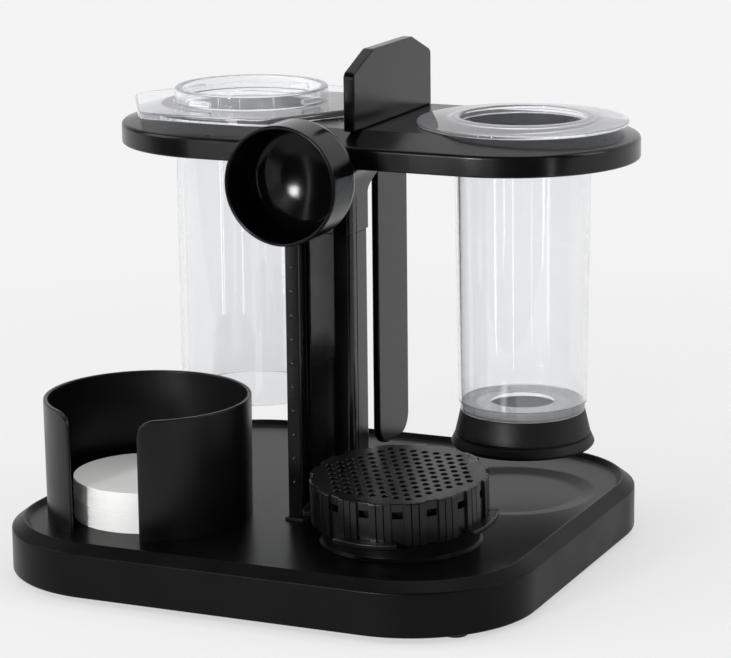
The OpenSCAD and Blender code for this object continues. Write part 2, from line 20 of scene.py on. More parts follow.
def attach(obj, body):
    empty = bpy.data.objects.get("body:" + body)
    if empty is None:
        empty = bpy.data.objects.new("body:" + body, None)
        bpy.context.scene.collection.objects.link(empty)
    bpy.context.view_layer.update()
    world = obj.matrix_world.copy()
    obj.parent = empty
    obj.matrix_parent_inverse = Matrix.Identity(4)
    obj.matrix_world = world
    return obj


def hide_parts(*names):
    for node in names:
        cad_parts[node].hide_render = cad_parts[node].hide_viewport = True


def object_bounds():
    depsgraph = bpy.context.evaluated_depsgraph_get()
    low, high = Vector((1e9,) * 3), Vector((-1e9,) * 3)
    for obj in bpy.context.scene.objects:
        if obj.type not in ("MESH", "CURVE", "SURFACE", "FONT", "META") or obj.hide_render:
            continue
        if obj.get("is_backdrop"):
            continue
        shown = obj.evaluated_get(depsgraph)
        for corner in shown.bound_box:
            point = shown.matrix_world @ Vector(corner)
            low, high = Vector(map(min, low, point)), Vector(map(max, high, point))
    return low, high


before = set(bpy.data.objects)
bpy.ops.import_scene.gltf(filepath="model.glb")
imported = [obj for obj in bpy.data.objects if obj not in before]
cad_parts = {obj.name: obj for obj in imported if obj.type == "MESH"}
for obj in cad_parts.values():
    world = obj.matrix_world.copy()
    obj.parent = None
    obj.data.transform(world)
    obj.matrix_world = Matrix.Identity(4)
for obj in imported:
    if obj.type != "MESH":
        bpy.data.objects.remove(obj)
CAD_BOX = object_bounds()

MM = 0.001
ROUND_STEPS = 128
# A corner that turns by less than this angle, in radians, is left alone
STRAIGHT = 0.001
# Keeps the shift at a sharp corner of an outline short
LEAST_SPREAD = 0.4
# Distances in metres below which points merge and faces vanish
MERGE = 0.000002
VANISH = 0.000001
# Distance in millimetres below which two points of a sheet are one
SHEET_GAP = 0.00001
LOG = logging.getLogger("stand")

Point2 = tuple[float, float]
Point3 = tuple[float, float, float]
Corner = tuple[float, float, float]
Ring = list[bmesh.types.BMVert]
Colour = tuple[float, float, float]


class Body(Enum):
    """The bodies of the frame that pieces ride on."""

    STAND = "stand"
    CHAMBER = "chamber"
    PLUNGER = "plunger"
    STIRRER = "stirrer"
    SCOOP = "scoop"
    CAP = "filter_cap"
    FILTERS = "filters"


class Slot(Enum):
    """The material slots of the record."""

    SATIN = "satin_plastic"
    BLACK = "black_plastic"
    GLOSS = "gloss_black"
    CLEAR = "clear_plastic"
    RUBBER = "rubber"
    STEEL = "steel"
    BRASS = "brass"
    PAPER = "paper"


def round_corners(corners: Sequence[Corner], closed: bool = True, steps: int = 6) -> list[Point2]:
    """Rounds the corners of a flat line.

    Args:
        corners: The corners as (x, y, radius); a radius of 0 keeps a corner sharp.
        closed: Whether the line runs back to its start.
        steps: The number of chords in each rounding.

    Returns:
        The points of the rounded line.
    """
    points: list[Point2] = []
    count = len(corners)
    for i, (x, y, radius) in enumerate(corners):
        at_end = not closed and i in (0, count - 1)
        here = Vector((x, y))
        back = Vector(corners[i - 1][:2]) - here
        on = Vector(corners[(i + 1) % count][:2]) - here
        half = math.pi / 2 if at_end or radius <= 0 else back.angle(on) / 2
        if half > math.pi / 2 - STRAIGHT:
            points.append((x, y))
            continue
        free_back = 1 if not closed and i == 1 else 2
        free_on = 1 if not closed and i == count - 2 else 2
        reach = min(radius / math.tan(half), back.length / free_back, on.length / free_on)
        radius = reach * math.tan(half)
        back.normalize()
        on.normalize()
        centre = here + (back + on).normalized() * (radius / math.sin(half))
        start = here + back * reach - centre
        stop = here + on * reach - centre
        first = math.atan2(start.y, start.x)
        turn = (math.atan2(stop.y, stop.x) - first + math.pi) % math.tau - math.pi
        for k in range(steps + 1):
            angle = first + turn * k / steps
            points.append((centre.x + radius * math.cos(angle), centre.y + radius * math.sin(angle)))
    return points


def rounded_rectangle(width: float, depth: float, radius: float, steps: int = 16) -> list[Point2]:
    """Gives the outline of a rectangle with rounded corners, about its middle.

    Args:
        width: The size along X.
        depth: The size along Y.
        radius: The radius of the corners.
        steps: The number of chords in each corner.

    Returns:
        The outline, counter-clockwise.
    """
    x = width / 2
    y = depth / 2
    return round_corners([(x, -y, radius), (x, y, radius), (-x, y, radius), (-x, -y, radius)], steps=steps)


def inset(outline: Sequence[Point2], distance: float) -> list[Point2]:
    """Moves a counter-clockwise outline inwards.

    Args:
        outline: The outline.
        distance: How far each side moves in.

    Returns:
        The moved outline, with as many points.
    """
    moved: list[Point2] = []
    for i, (x, y) in enumerate(outline):
        before = outline[i - 1]
        after = outline[(i + 1) % len(outline)]
        a = Vector((before[1] - y, x - before[0])).normalized()
        b = Vector((y - after[1], after[0] - x)).normalized()
        shift = (a + b) * (distance / max(LEAST_SPREAD, 1 + a.dot(b)))
        moved.append((x + shift.x, y + shift.y))
    return moved


def polar(radius: float, angle: float) -> Point2:
    """Gives the point at a radius and an angle in degrees."""
    return radius * math.cos(math.radians(angle)), radius * math.sin(math.radians(angle))


def upright(x: float, y: float, z: float) -> Point3:
    """Keeps a point as it is."""
    return x, y, z


def smooth_step(value: float) -> float:
    """Eases a value from 0 to 1, and holds it outside that range."""
    t = min(1.0, max(0.0, value))
    return t * t * (3 - 2 * t)


def arc_band(
    radius: float, inner: float, middle: float, spread: float, corner: float, steps: int
) -> list[Point2]:
    """Gives the outline of a curved lug, about the axis that it is bent round.

    Args:
        radius: The radius of its outer side.
        inner: The radius of its inner side.
        middle: The angle of its middle, in degrees.
        spread: The angle that it spans.
        corner: The radius of its outer corners.
        steps: The number of chords along each side.

    Returns:
        The outline, counter-clockwise.
    """
    arc = [middle + spread * (k / steps - 0.5) for k in range(steps + 1)]
    corners: list[Corner] = [(*polar(radius, a), 0) for a in arc]
    for end in (0, -1):
        corners[end] = (*corners[end][:2], corner)
    corners += [(*polar(inner, a), 0) for a in reversed(arc)]
    return round_corners(corners, steps=4)


class Solid:
    """Gathers rings of points into the mesh of one piece."""

    def __init__(self, name: str) -> None:
        """Starts an empty mesh under a piece's name."""
        self.name = name
        self.mesh = bmesh.new()

    def ring(self, points: Iterable[Point3]) -> Ring:
        """Adds one ring of points, given in millimetres."""
        return [self.mesh.verts.new(Vector(point) * MM) for point in points]

    def bridge(self, one: Ring, two: Ring, closed: bool = True) -> None:
        """Joins two rings of the same length with faces.

        Args:
            one: The first ring.
            two: The second ring.
            closed: Whether the rings run back to their starts.
        """
        for i in range(len(one) if closed else len(one) - 1):
            j = (i + 1) % len(one)
            self.mesh.faces.new((one[i], one[j], two[j], two[i]))

    def skin(self, rows: Iterable[Iterable[Point3]], looped: bool = False) -> list[Ring]:
        """Joins rows of points in order.

        Args:
            rows: Closed rows, each with as many points.
            looped: Whether the last row joins the first.

        Returns:
            The rings made.
        """
        rings = [self.ring(row) for row in rows]
        for one, two in zip(rings, rings[1:]):
            self.bridge(one, two)
        if looped:
            self.bridge(rings[-1], rings[0])
        return rings

    def cap(self, ring: Ring) -> None:
        """Closes a ring with one face."""
        self.mesh.faces.new(ring)

    def sheet(self, outer: Ring, holes: Sequence[Ring]) -> None:
        """Fills a flat outline around convex holes.

        Args:
            outer: The ring round the sheet.
            holes: The rings that stay open.
        """
        verts: Ring = []
        edges: list[tuple[int, int]] = []
        owner: list[int] = []
        for number, loop in enumerate([outer, *holes]):
            start = len(verts)
            verts += loop
            owner += [number] * len(loop)
            edges += [(start + i, start + (i + 1) % len(loop)) for i in range(len(loop))]
        flat = [Vector((v.co.x, v.co.y)) / MM for v in verts]
        _, _, faces, sources, _, _ = delaunay_2d_cdt(flat, edges, [], 1, SHEET_GAP)
        for face in faces:
            ids = [sources[i][0] for i in face]
            owners = {owner[i] for i in ids}
            if len(set(ids)) == len(ids) and (owners == {0} or len(owners) > 1):
                self.mesh.faces.new([verts[i] for i in ids])

    def turn(
        self,
        profile: Sequence[Point2],
        centre: Point2,
        looped: bool = True,
        reach: Callable[[float, float], float] | None = None,
        place: Callable[[float, float, float], Point3] = upright,
        steps: int = ROUND_STEPS,
    ) -> list[Ring]:
        """Turns a profile round an upright axis.

        Args:
            profile: The profile as (radius, height).
            centre: The axis in plan.
            looped: Whether the profile is a closed line.
            reach: Gives the real radius from (radius, angle in degrees), if it isn't round.
            place: Moves each point to its place.
            steps: The number of chords round the axis.

        Returns:
            One ring for each point of the profile.
        """
        rows = []
        for radius, height in profile:
            row = []
            for k in range(steps):
                angle = 360 * k / steps
                x, y = polar(reach(radius, angle) if reach else radius, angle)
                row.append(place(centre[0] + x, centre[1] + y, height))
            rows.append(row)
        return self.skin(rows, looped)

    def slab(
        self,
        outline: Sequence[Point2],
        low: float,
        high: float,
        edge: float,
        place: Callable[[float, float, float], Point3] = upright,
        steps: int = 4,
    ) -> None:
        """Raises an outline into a slab with rounded edges.

        Args:
            outline: The outline, counter-clockwise.
            low: The slab's lower face.
            high: The slab's upper face.
            edge: The radius of its edges.
            place: Moves each point to its place.
            steps: The number of chords in each edge.
        """
        rows = []
        for side, face in ((-1, low), (1, high)):
            for k in range(steps + 1):
                angle = math.pi / 2 * (k / steps if side < 0 else 1 - k / steps)
                drop = edge * (1 - math.sin(angle))
                level = face - side * edge * (1 - math.cos(angle))
                rows.append([place(x, y, level) for x, y in inset(outline, drop)])
        rings = self.skin(rows)
        self.cap(rings[0])
        self.cap(rings[-1])

    def finish(self, sharp: float = 32) -> bpy.types.Object:
        """Closes the mesh and makes the Blender object.

        Args:
            sharp: The angle between faces, in degrees, above which an edge stays crisp.

        Returns:
            The new object.
        """
        bmesh.ops.remove_doubles(self.mesh, verts=self.mesh.verts, dist=MERGE)
        bmesh.ops.dissolve_degenerate(self.mesh, edges=self.mesh.edges, dist=VANISH)
        bmesh.ops.recalc_face_normals(self.mesh, faces=self.mesh.faces)
        data = bpy.data.meshes.new(self.name)
        self.mesh.to_mesh(data)
        self.mesh.free()
        data.shade_smooth()
        data.set_sharp_from_angle(angle=math.radians(sharp))
        made = bpy.data.objects.new(self.name, data)
        bpy.context.scene.collection.objects.link(made)
        normals = made.modifiers.new("even_shading", "WEIGHTED_NORMAL")
        normals.keep_sharp = True
        return made


class Graph:
    """Writes the nodes of one material or of the world."""

    def __init__(self, owner: bpy.types.Material | bpy.types.World) -> None:
        """Empties the owner's node tree.

        Args:
            owner: The material or world.
        """
        owner.use_nodes = True
        self.tree = owner.node_tree
        self.tree.nodes.clear()

    def add(self, kind: str, inputs: dict[str, object] | None = None, **settings: object) -> bpy.types.Node:
        """Adds a node.

        Args:
            kind: The node's type.
            inputs: Values or sockets for its inputs, by name or by number as text.
            settings: Its own properties.

        Returns:
            The node.
        """
        node = self.tree.nodes.new(kind)
        for key, value in settings.items():
            setattr(node, key, value)
        for key, value in (inputs or {}).items():
            socket = node.inputs[int(key)] if key.isdigit() else node.inputs[key]
            if isinstance(value, bpy.types.NodeSocket):
                self.tree.links.new(value, socket)
            else:
                socket.default_value = value
        return node

    def place(self) -> bpy.types.NodeSocket:
        """Gives the point on the surface in the object's own axes."""
        return self.add("ShaderNodeTexCoord").outputs["Object"]

    def cloud(self, place: bpy.types.NodeSocket, scale: float, detail: float) -> bpy.types.NodeSocket:
        """Adds soft noise.

        Args:
            place: Where it is read.
            scale: Its scale, per metre.
            detail: How many finer layers it has.

        Returns:
            Its value.
        """
        noise = self.add("ShaderNodeTexNoise", {"Vector": place, "Scale": scale, "Detail": detail})
        return noise.outputs["Fac"]

    def span(
        self,
        value: bpy.types.NodeSocket,
        start: float,
        stop: float,
        low: float = 0.0,
        high: float = 1.0,
        kind: str = "LINEAR",
    ) -> bpy.types.NodeSocket:
        """Turns one range of a value into another, and holds it outside.

        Args:
            value: The value.
            start: Where the range begins.
            stop: Where it ends.
            low: What it gives at the start.
            high: What it gives at the end.
            kind: How it runs between them.

        Returns:
            The new value.
        """
        ends = {"From Min": start, "From Max": stop, "To Min": low, "To Max": high}
        node = self.add("ShaderNodeMapRange", {"Value": value, **ends}, interpolation_type=kind)
        return node.outputs["Result"]

    def tint(self, share: bpy.types.NodeSocket, low: Colour, high: Colour) -> bpy.types.NodeSocket:
        """Mixes two colours by a share.

        Args:
            share: The share of the second colour.
            low: The first colour.
            high: The second colour.

        Returns:
            The colour.
        """
        inputs = {"Factor": share, "6": (*low, 1), "7": (*high, 1)}
        return self.add("ShaderNodeMix", inputs, data_type="RGBA").outputs[2]

    def blend(self, share: bpy.types.NodeSocket, low: object, high: object) -> bpy.types.NodeSocket:
        """Mixes two numbers by a share.

        Args:
            share: The share of the second number.
            low: The first number, or its socket.
            high: The second number, or its socket.

        Returns:
            The number.
        """
        return self.add("ShaderNodeMix", {"Factor": share, "2": low, "3": high}).outputs[0]

    def greater(self, one: bpy.types.NodeSocket, two: bpy.types.NodeSocket) -> bpy.types.NodeSocket:
        """Gives the greater of two numbers."""
        return self.add("ShaderNodeMath", {"0": one, "1": two}, operation="MAXIMUM").outputs["Value"]

    def layer(
        self, share: bpy.types.NodeSocket, under: bpy.types.NodeSocket, over: bpy.types.NodeSocket
    ) -> bpy.types.NodeSocket:
        """Mixes two shaders by a share.

        Args:
            share: The share of the second shader.
            under: The first shader.
            over: The second shader.

        Returns:
            The mixed shader.
        """
        node = self.add("ShaderNodeMixShader", {"Fac": share, "1": under, "2": over})
        return node.outputs["Shader"]

    def bump(
        self, height: bpy.types.NodeSocket, depth: float, normal: bpy.types.NodeSocket | None = None
    ) -> bpy.types.NodeSocket:
        """Raises a surface by a height.

        Args:
            height: The height, as a share of the depth.
            depth: The depth in millimetres.
            normal: A bump that it lies on.

        Returns:
            The normal.
        """
        inputs = {"Height": height, "Distance": depth * MM, "Strength": 1.0}
        if normal:
            inputs["Normal"] = normal
        return self.add("ShaderNodeBump", inputs).outputs["Normal"]


def blank_material(name: str, colour: Colour) -> bpy.types.Material:
    """Makes a material with a plain colour for the viewport.

    Args:
        name: Its name.
        colour: The colour.

    Returns:
        The material.
    """
    made = bpy.data.materials.new(name)
    made.diffuse_color = (*colour, 1)
    return made


@dataclass(frozen=True)
class Finish:
    """What a moulded or turned surface looks like."""

    name: str
    slot: Slot
    colour: Colour
    roughness: float
    metallic: float = 0.0
    specular: float = 0.5
    rough_spread: float = 0.06
    tone_spread: float = 0.25
    tone_scale: float = 38.0
    tone_range: Point2 = (0.3, 0.7)
    grain_size: float = 0.5
    grain_depth: float = 0.01
    waves: float = 0.0
    wave_scale: float = 16.0
    level_roughness: float | None = None
    level_range: Point2 = (0.93, 0.99)

    def material(self) -> bpy.types.Material:
        """Gives the material.

        Returns:
            The material already made, or else a new one.
        """
        if self.name in bpy.data.materials:
            return bpy.data.materials[self.name]
        made = blank_material(self.name, self.colour)
        graph = Graph(made)
        place = graph.place()
        cloud = graph.cloud(place, self.tone_scale, 4.0)
        dark, light = ([c * (1 + way * self.tone_spread) for c in self.colour] for way in (-1, 1))
        gloss = graph.span(
            cloud, *self.tone_range, self.roughness - self.rough_spread, self.roughness + self.rough_spread
        )
        if self.level_roughness is not None:
            lie = graph.add("ShaderNodeNewGeometry").outputs["Normal"]
            up = graph.add("ShaderNodeSeparateXYZ", {"Vector": lie}).outputs["Z"]
            gloss = graph.blend(graph.span(up, *self.level_range), gloss, self.level_roughness)
        normal = graph.bump(graph.cloud(place, 1 / (self.grain_size * MM), 3.0), self.grain_depth)
        if self.waves:
            normal = graph.bump(graph.cloud(place, self.wave_scale, 1.0), self.waves, normal)
        shader = graph.add(
            "ShaderNodeBsdfPrincipled",
            {
                "Base Color": graph.tint(cloud, dark, light),
                "Roughness": gloss,
                "Normal": normal,
                "Metallic": self.metallic,
                "Specular IOR Level": self.specular,
            },
        )
        graph.add("ShaderNodeOutputMaterial", {"Surface": shader.outputs["BSDF"]})
        return made


@dataclass(frozen=True)
class ClearFinish:
    """See-through moulded plastic, with faint flow marks in its gloss."""

    name: str
    slot: Slot = Slot.CLEAR
    colour: Colour = (0.93, 0.94, 0.95)
    tone_spread: float = 0.015
    roughness: float = 0.02
    rough_spread: float = 0.01
    flow_scale: float = 30.0
    flow_depth: float = 0.05
    bend: float = 1.5
    shadow: Colour = (0.86, 0.87, 0.88)
    haze: float = 0.03
    haze_colour: Colour = (0.95, 0.95, 1.0)
    flange_haze: float = 0.15
    flange_from: float = 178.5
    flange_fade: float = 1.0
    foot_haze: float = 0.03
    foot_to: float = 60.6
    foot_fade: float = 0.5

    def hazed(self, graph: Graph, place: bpy.types.NodeSocket) -> bpy.types.NodeSocket:
        """Gives how milky the plastic is at each height.

        Args:
            graph: The material's nodes.
            place: The point on the surface.

        Returns:
            The share of haze: more in the flange and in the foot than between them.
        """
        height = graph.add("ShaderNodeSeparateXYZ", {"Vector": place}).outputs["Z"]
        rim = self.flange_from * MM
        foot = self.foot_to * MM
        return graph.greater(
            graph.span(height, rim, rim + self.flange_fade * MM, self.haze, self.flange_haze),
            graph.span(height, foot, foot + self.foot_fade * MM, self.foot_haze, 0.0),
        )

    def material(self) -> bpy.types.Material:
        """Gives the material.

        Returns:
            The material already made, or else a new one.
        """
        if self.name in bpy.data.materials:
            return bpy.data.materials[self.name]
        made = blank_material(self.name, self.colour)
        graph = Graph(made)
        place = graph.place()
        flow = graph.cloud(place, self.flow_scale, 2.0)
        dark, light = ([min(1.0, c * (1 + way * self.tone_spread)) for c in self.colour] for way in (-1, 1))
        shader = graph.add(
            "ShaderNodeBsdfPrincipled",
            {
                "Base Color": graph.tint(flow, dark, light),
                "Roughness": graph.span(
                    flow, 0.0, 1.0, self.roughness - self.rough_spread, self.roughness + self.rough_spread
                ),
                "Normal": graph.bump(flow, self.flow_depth),
                "Transmission Weight": 1.0,
                "IOR": self.bend,
            },
        )
        milk = graph.add("ShaderNodeBsdfDiffuse", {"Color": (*self.haze_colour, 1)})
        lets = graph.add("ShaderNodeBsdfTransparent", {"Color": (*self.shadow, 1)})
        path = graph.add("ShaderNodeLightPath")
        body = graph.layer(self.hazed(graph, place), shader.outputs["BSDF"], milk.outputs["BSDF"])
        mixed = graph.layer(path.outputs["Is Shadow Ray"], body, lets.outputs["BSDF"])
        graph.add("ShaderNodeOutputMaterial", {"Surface": mixed})
        return made


TRAY_SATIN = Finish(
    "tray_satin", Slot.SATIN, (0.0025, 0.0025, 0.0028), 0.36, specular=0.09, grain_depth=0.012,
    level_roughness=0.28,
)
HOLDER_SATIN = Finish(
    "holder_satin", Slot.SATIN, (0.003, 0.003, 0.0036), 0.34, specular=0.3, grain_depth=0.008,
)
POST_GLOSS = Finish("post_gloss", Slot.BLACK, (0.002, 0.002, 0.0022), 0.14, specular=0.4, waves=0.02)
PLATE_GLOSS = Finish("plate_gloss", Slot.BLACK, (0.0025, 0.0025, 0.0028), 0.24, specular=0.35, waves=0.015)
STIRRER_GLOSS = Finish("stirrer_gloss", Slot.GLOSS, (0.002, 0.002, 0.0022), 0.2, specular=0.28, waves=0.02)
SCOOP_GLOSS = Finish("scoop_gloss", Slot.GLOSS, (0.002, 0.002, 0.0022), 0.14, specular=0.16, waves=0.015)
# The pips are the scoop's black plastic; their lighter colour here is a painted glint.
PIP_PAINTED_GLINT = Finish("pip_gloss", Slot.GLOSS, (0.014, 0.014, 0.015), 0.24, specular=0.8)
CAP_BLACK = Finish("cap_black", Slot.BLACK, (0.003, 0.003, 0.0033), 0.3, specular=0.35, grain_depth=0.01)
RUBBER = Finish("matte_rubber", Slot.RUBBER, (0.004, 0.004, 0.0042), 0.5, specular=0.25, grain_depth=0.015)
COVER_BLACK = Finish("cover_black", Slot.BLACK, (0.012, 0.012, 0.0125), 0.5, grain_depth=0.015)
STEEL = Finish("plated_steel", Slot.STEEL, (0.6, 0.6, 0.62), 0.28, metallic=1.0, tone_spread=0.06)
BRASS = Finish("turned_brass", Slot.BRASS, (0.72, 0.5, 0.22), 0.3, metallic=1.0, tone_spread=0.08)
PAPER = Finish(
    "filter_paper", Slot.PAPER, (0.9, 0.9, 0.885), 0.85, specular=0.2, tone_spread=0.02,
    rough_spread=0.04, grain_size=0.35, grain_depth=0.03,
)
CHAMBER_CLEAR = ClearFinish("chamber_copolyester", flange_haze=0.13)
PLUNGER_CLEAR = ClearFinish("plunger_copolyester", flange_haze=0.16, foot_haze=0.12)


def dress(
    piece: bpy.types.Object,
    finish: Finish | ClearFinish,
    body: Body | None = None,
    nodes: Sequence[str] = (),
) -> None:
    """Gives a piece its finish, its body and the nodes that it stands for.

    Args:
        piece: The piece, or a node of the frame.
        finish: Its finish.
        body: The body that it rides on; none for a node of the frame.
        nodes: The nodes that it takes the place of.
    """
    piece.data.materials.clear()
    piece.data.materials.append(finish.material())
    if body:
        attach(piece, body.value)
    if nodes:
        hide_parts(*nodes)
    LOG.info("%s: %s", piece.name, finish.name)


@dataclass
class Tray:
    """The base tray with its sunken floor, its dish, and the plinth for the filter cap."""

    centre: Point2 = (-2.75, 0.0)
    width: float = 228.0
    depth: float = 214.5
    corner: float = 52.0
    foot: float = 2.0
    under_edge: float = 1.2
    inner_edge: float = 0.3
    wall_top: float = 20.1
    wall_edge: float = 1.1
    rim_top: float = 24.1
    rim_width: float = 5.3
    rim_edge: float = 0.9
    floor: float = 21.6
    floor_edge: float = 1.6
    floor_margin: float = 0.7
    wall: float = 3.0
    ceiling: float = 18.0
    dish_centre: Point2 = (63.55, 39.0)
    dish_radius: float = 38.4
    dish_run: float = 9.0
    dish_depth: float = 1.5
    dish_margin: float = 0.6
    dish_shoulder: float = 2.0
    dish_top_round: float = 8.0
    dish_foot_round: float = 18.0
    plinth_centre: Point2 = (48.55, -42.5)
    plinth_radius: float = 31.8
    plinth_foot: float = 1.2
    plinth_top: float = 46.99
    plinth_middle: float = -43.0
    plinth_lean: float = 4.2
    plinth_round: float = 0.5
    plinth_edge: float = 0.8
    socket_centre: Point2 = (-2.35, -28.5)
    socket_size: Point2 = (8.3, 15.5)
    socket_pocket: Point2 = (6.3, 13.5)
    socket_rise: float = 1.2
    socket_low: float = 18.0
    socket_corner: float = 0.5
    socket_sink: float = 0.2
    socket_edge: float = 0.35
    socket_bevel: float = 0.1
    socket_lip: float = 0.3
    pocket_ease: float = 0.05
    foot_radius: float = 5.0
    foot_edge: float = 0.6
    foot_sink: float = 1.0
    foot_spread: Point2 = (92.58, 85.83)

    def section(self, inward: float, height: float) -> list[Point3]:
        """Gives the tray's outline at a height, moved inwards.

        Args:
            inward: How far it is moved inwards.
            height: The height.

        Returns:
            The outline's points.
        """
        outline = rounded_rectangle(
            self.width - 2 * inward, self.depth - 2 * inward, self.corner - inward, steps=24
        )
        return [(self.centre[0] + x, self.centre[1] + y, height) for x, y in outline]

    def shell(self) -> bpy.types.Object:
        """Makes the tray itself.

        Returns:
            The piece.
        """
        slope = self.rim_top - self.floor
        inner = self.rim_width + slope
        profile = round_corners(
            [
                (inner + self.floor_margin, self.floor, 0),
                (inner, self.floor, self.floor_edge),
                (self.rim_width, self.rim_top, self.rim_edge),
                (0, self.wall_top, self.wall_edge),
                (0, self.foot, self.under_edge),
                (self.wall, self.foot, self.inner_edge),
                (self.wall, self.ceiling, 0),
            ],
            closed=False,
        )
        solid = Solid("tray_shell")
        rings = solid.skin([self.section(*point) for point in profile])
        solid.cap(rings[-1])
        dish = solid.turn(
            round_corners(
                [
                    (self.dish_radius + self.dish_margin, self.floor, 0),
                    (self.dish_radius - self.dish_shoulder, self.floor, self.dish_top_round),
                    (self.dish_radius - self.dish_run, self.floor - self.dish_depth, self.dish_foot_round),
                    (self.dish_radius - 2 * self.dish_run, self.floor - self.dish_depth, 0),
                    (0, self.floor - self.dish_depth, 0),
                ],
                closed=False,
            ),
            self.dish_centre,
            looped=False,
        )
        foot = self.plinth_radius + self.plinth_foot
        plinth = solid.turn(
            round_corners(
                [
                    (foot + self.plinth_foot, self.floor, 0),
                    (foot, self.floor, self.plinth_round),
                    (self.plinth_radius, self.floor + self.plinth_foot, self.plinth_round),
                    (self.plinth_radius, self.plinth_top, self.plinth_edge),
                    (0, self.plinth_top, 0),
                ],
                closed=False,
            ),
            self.plinth_centre,
            looped=False,
            place=self.leaning,
        )
        pocket = [
            solid.ring(self.socket_outline(self.socket_pocket, -self.pocket_ease, height))
            for height in (self.floor, self.socket_low)
        ]
        solid.bridge(*pocket)
        solid.cap(pocket[1])
        solid.sheet(rings[0], [dish[0], plinth[0], pocket[0]])
        return solid.finish()

    def leaning(self, x: float, y: float, z: float) -> Point3:
        """Leans the top of the plinth to the front, and keeps its foot level.

        Args:
            x: The point's X.
            y: Its Y.
            z: Its Z.

        Returns:
            The moved point.
        """
        foot = self.floor + self.plinth_foot
        share = max(0.0, (z - foot) / (self.plinth_top - foot))
        slope = math.tan(math.radians(self.plinth_lean))
        return x, y, z + share * slope * (y - self.plinth_middle)

    def socket_outline(self, size: Point2, inward: float, height: float) -> list[Point3]:
        """Gives an outline of the scoop's socket at a height, moved inwards.

        Args:
            size: The outline's width and depth.
            inward: How far it is moved inwards.
            height: The height.

        Returns:
            The outline's points.
        """
        x, y = self.socket_centre
        outline = inset(rounded_rectangle(*size, self.socket_corner, steps=4), inward)
        return [(x + px, y + py, height) for px, py in outline]

    def socket(self) -> bpy.types.Object:
        """Makes the raised socket that the scoop's handle stands in.

        Returns:
            The piece.
        """
        top = self.floor + self.socket_rise
        low = self.floor - self.socket_sink
        edge = self.socket_edge
        lip = self.socket_lip
        solid = Solid("scoop_socket")
        solid.skin(
            [
                self.socket_outline(size, inward, height)
                for size, inward, height in (
                    (self.socket_size, 0, low), (self.socket_size, 0, top - edge),
                    (self.socket_size, self.socket_bevel, top - self.socket_bevel),
                    (self.socket_size, edge, top),
                    (self.socket_pocket, -lip, top), (self.socket_pocket, 0, top - lip),
                    (self.socket_pocket, 0, low),
                )
            ],
            looped=True,
        )
        return solid.finish()

    def feet(self) -> None:
        """Makes and dresses the four rubber feet."""
        top = self.foot + self.foot_sink
        side = self.foot_radius
        corners = [(0, 0, 0), (side, 0, self.foot_edge), (side, top, 0.2), (0, top, 0)]
        for across, left_right in ((-1, "left"), (1, "right")):
            for along, front_rear in ((-1, "front"), (1, "rear")):
                name = f"foot_{front_rear}_{left_right}"
                x = self.centre[0] + across * self.foot_spread[0]
                solid = Solid(name + "_pad")
                solid.turn(round_corners(corners), (x, along * self.foot_spread[1]), steps=48)
                dress(solid.finish(), RUBBER, Body.STAND, [name])

    def build(self) -> None:
        """Builds and dresses the tray."""
        dress(self.shell(), TRAY_SATIN, Body.STAND, ["base_tray"])
        dress(self.socket(), TRAY_SATIN, Body.STAND)
        self.feet()
        dress(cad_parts["bottom_cover"], COVER_BLACK)
        dress(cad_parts["cover_screws"], STEEL)


@dataclass
class Column:
    """The post and the rod that clamps it."""

    centre: Point2 = (-2.35, 2.8)
    width: float = 27.4
    depth: float = 17.6
    corner: float = 2.9
    low: float = 21.6
    joint: float = 137.0
    joint_edge: float = 0.35
    joint_share: float = 0.3
    joint_gap: float = 0.02
    groove_at: float = 4.9
    groove_width: float = 0.7
    groove_depth: float = 0.4
    groove_slope: float = 0.05

    def outline(self, half: float, back: float, groove: float) -> list[Point2]:
        """Gives the plan of the post at one height.

        Args:
            half: Half its width there.
            back: How far its back face lies behind its front face.
            groove: The depth of the grooves in its sides.

        Returns:
            The plan about the middle of the front face.
        """
        low = self.groove_at
        high = low + self.groove_width
        corners: list[Corner] = [(-half, 0, self.corner), (half, 0, self.corner)]
        cut = ((half, low), (half - groove, low + self.groove_slope))
        cut += ((half - groove, high - self.groove_slope), (half, high))
        corners += [(x, y, 0) for x, y in cut]
        corners += [(half, back, self.corner), (-half, back, self.corner)]
        corners += [(-x, y, 0) for x, y in reversed(cut)]
        return round_corners(corners)

    def place(self, outline: Sequence[Point2], height: float) -> list[Point3]:
        """Puts a plan of the post at a height."""
        front = self.centre[1] - self.depth / 2
        return [(self.centre[0] + x, front + y, height) for x, y in outline]

    def post(self) -> bpy.types.Object:
        """Makes the post.

        Returns:
            The piece.
        """
        plan = self.outline(self.width / 2, self.depth, self.groove_depth)
        eased = inset(plan, self.joint_edge)
        bevel = self.joint_edge * self.joint_share
        solid = Solid("post_shell")
        rings = solid.skin(
            [
                self.place(plan, self.low),
                self.place(plan, self.joint - self.joint_edge),
                self.place(inset(plan, bevel), self.joint - bevel),
                self.place(eased, self.joint - self.joint_gap),
            ]
        )
        solid.cap(rings[0])
        solid.cap(rings[-1])
        return solid.finish()

    def build(self) -> None:
        """Builds and dresses the post and its rod."""
        dress(self.post(), POST_GLOSS, Body.STAND, ["post"])
        for name in ("tie_rod", "tie_nut", "tie_washer"):
            dress(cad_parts[name], STEEL)
        dress(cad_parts["thread_insert"], BRASS)


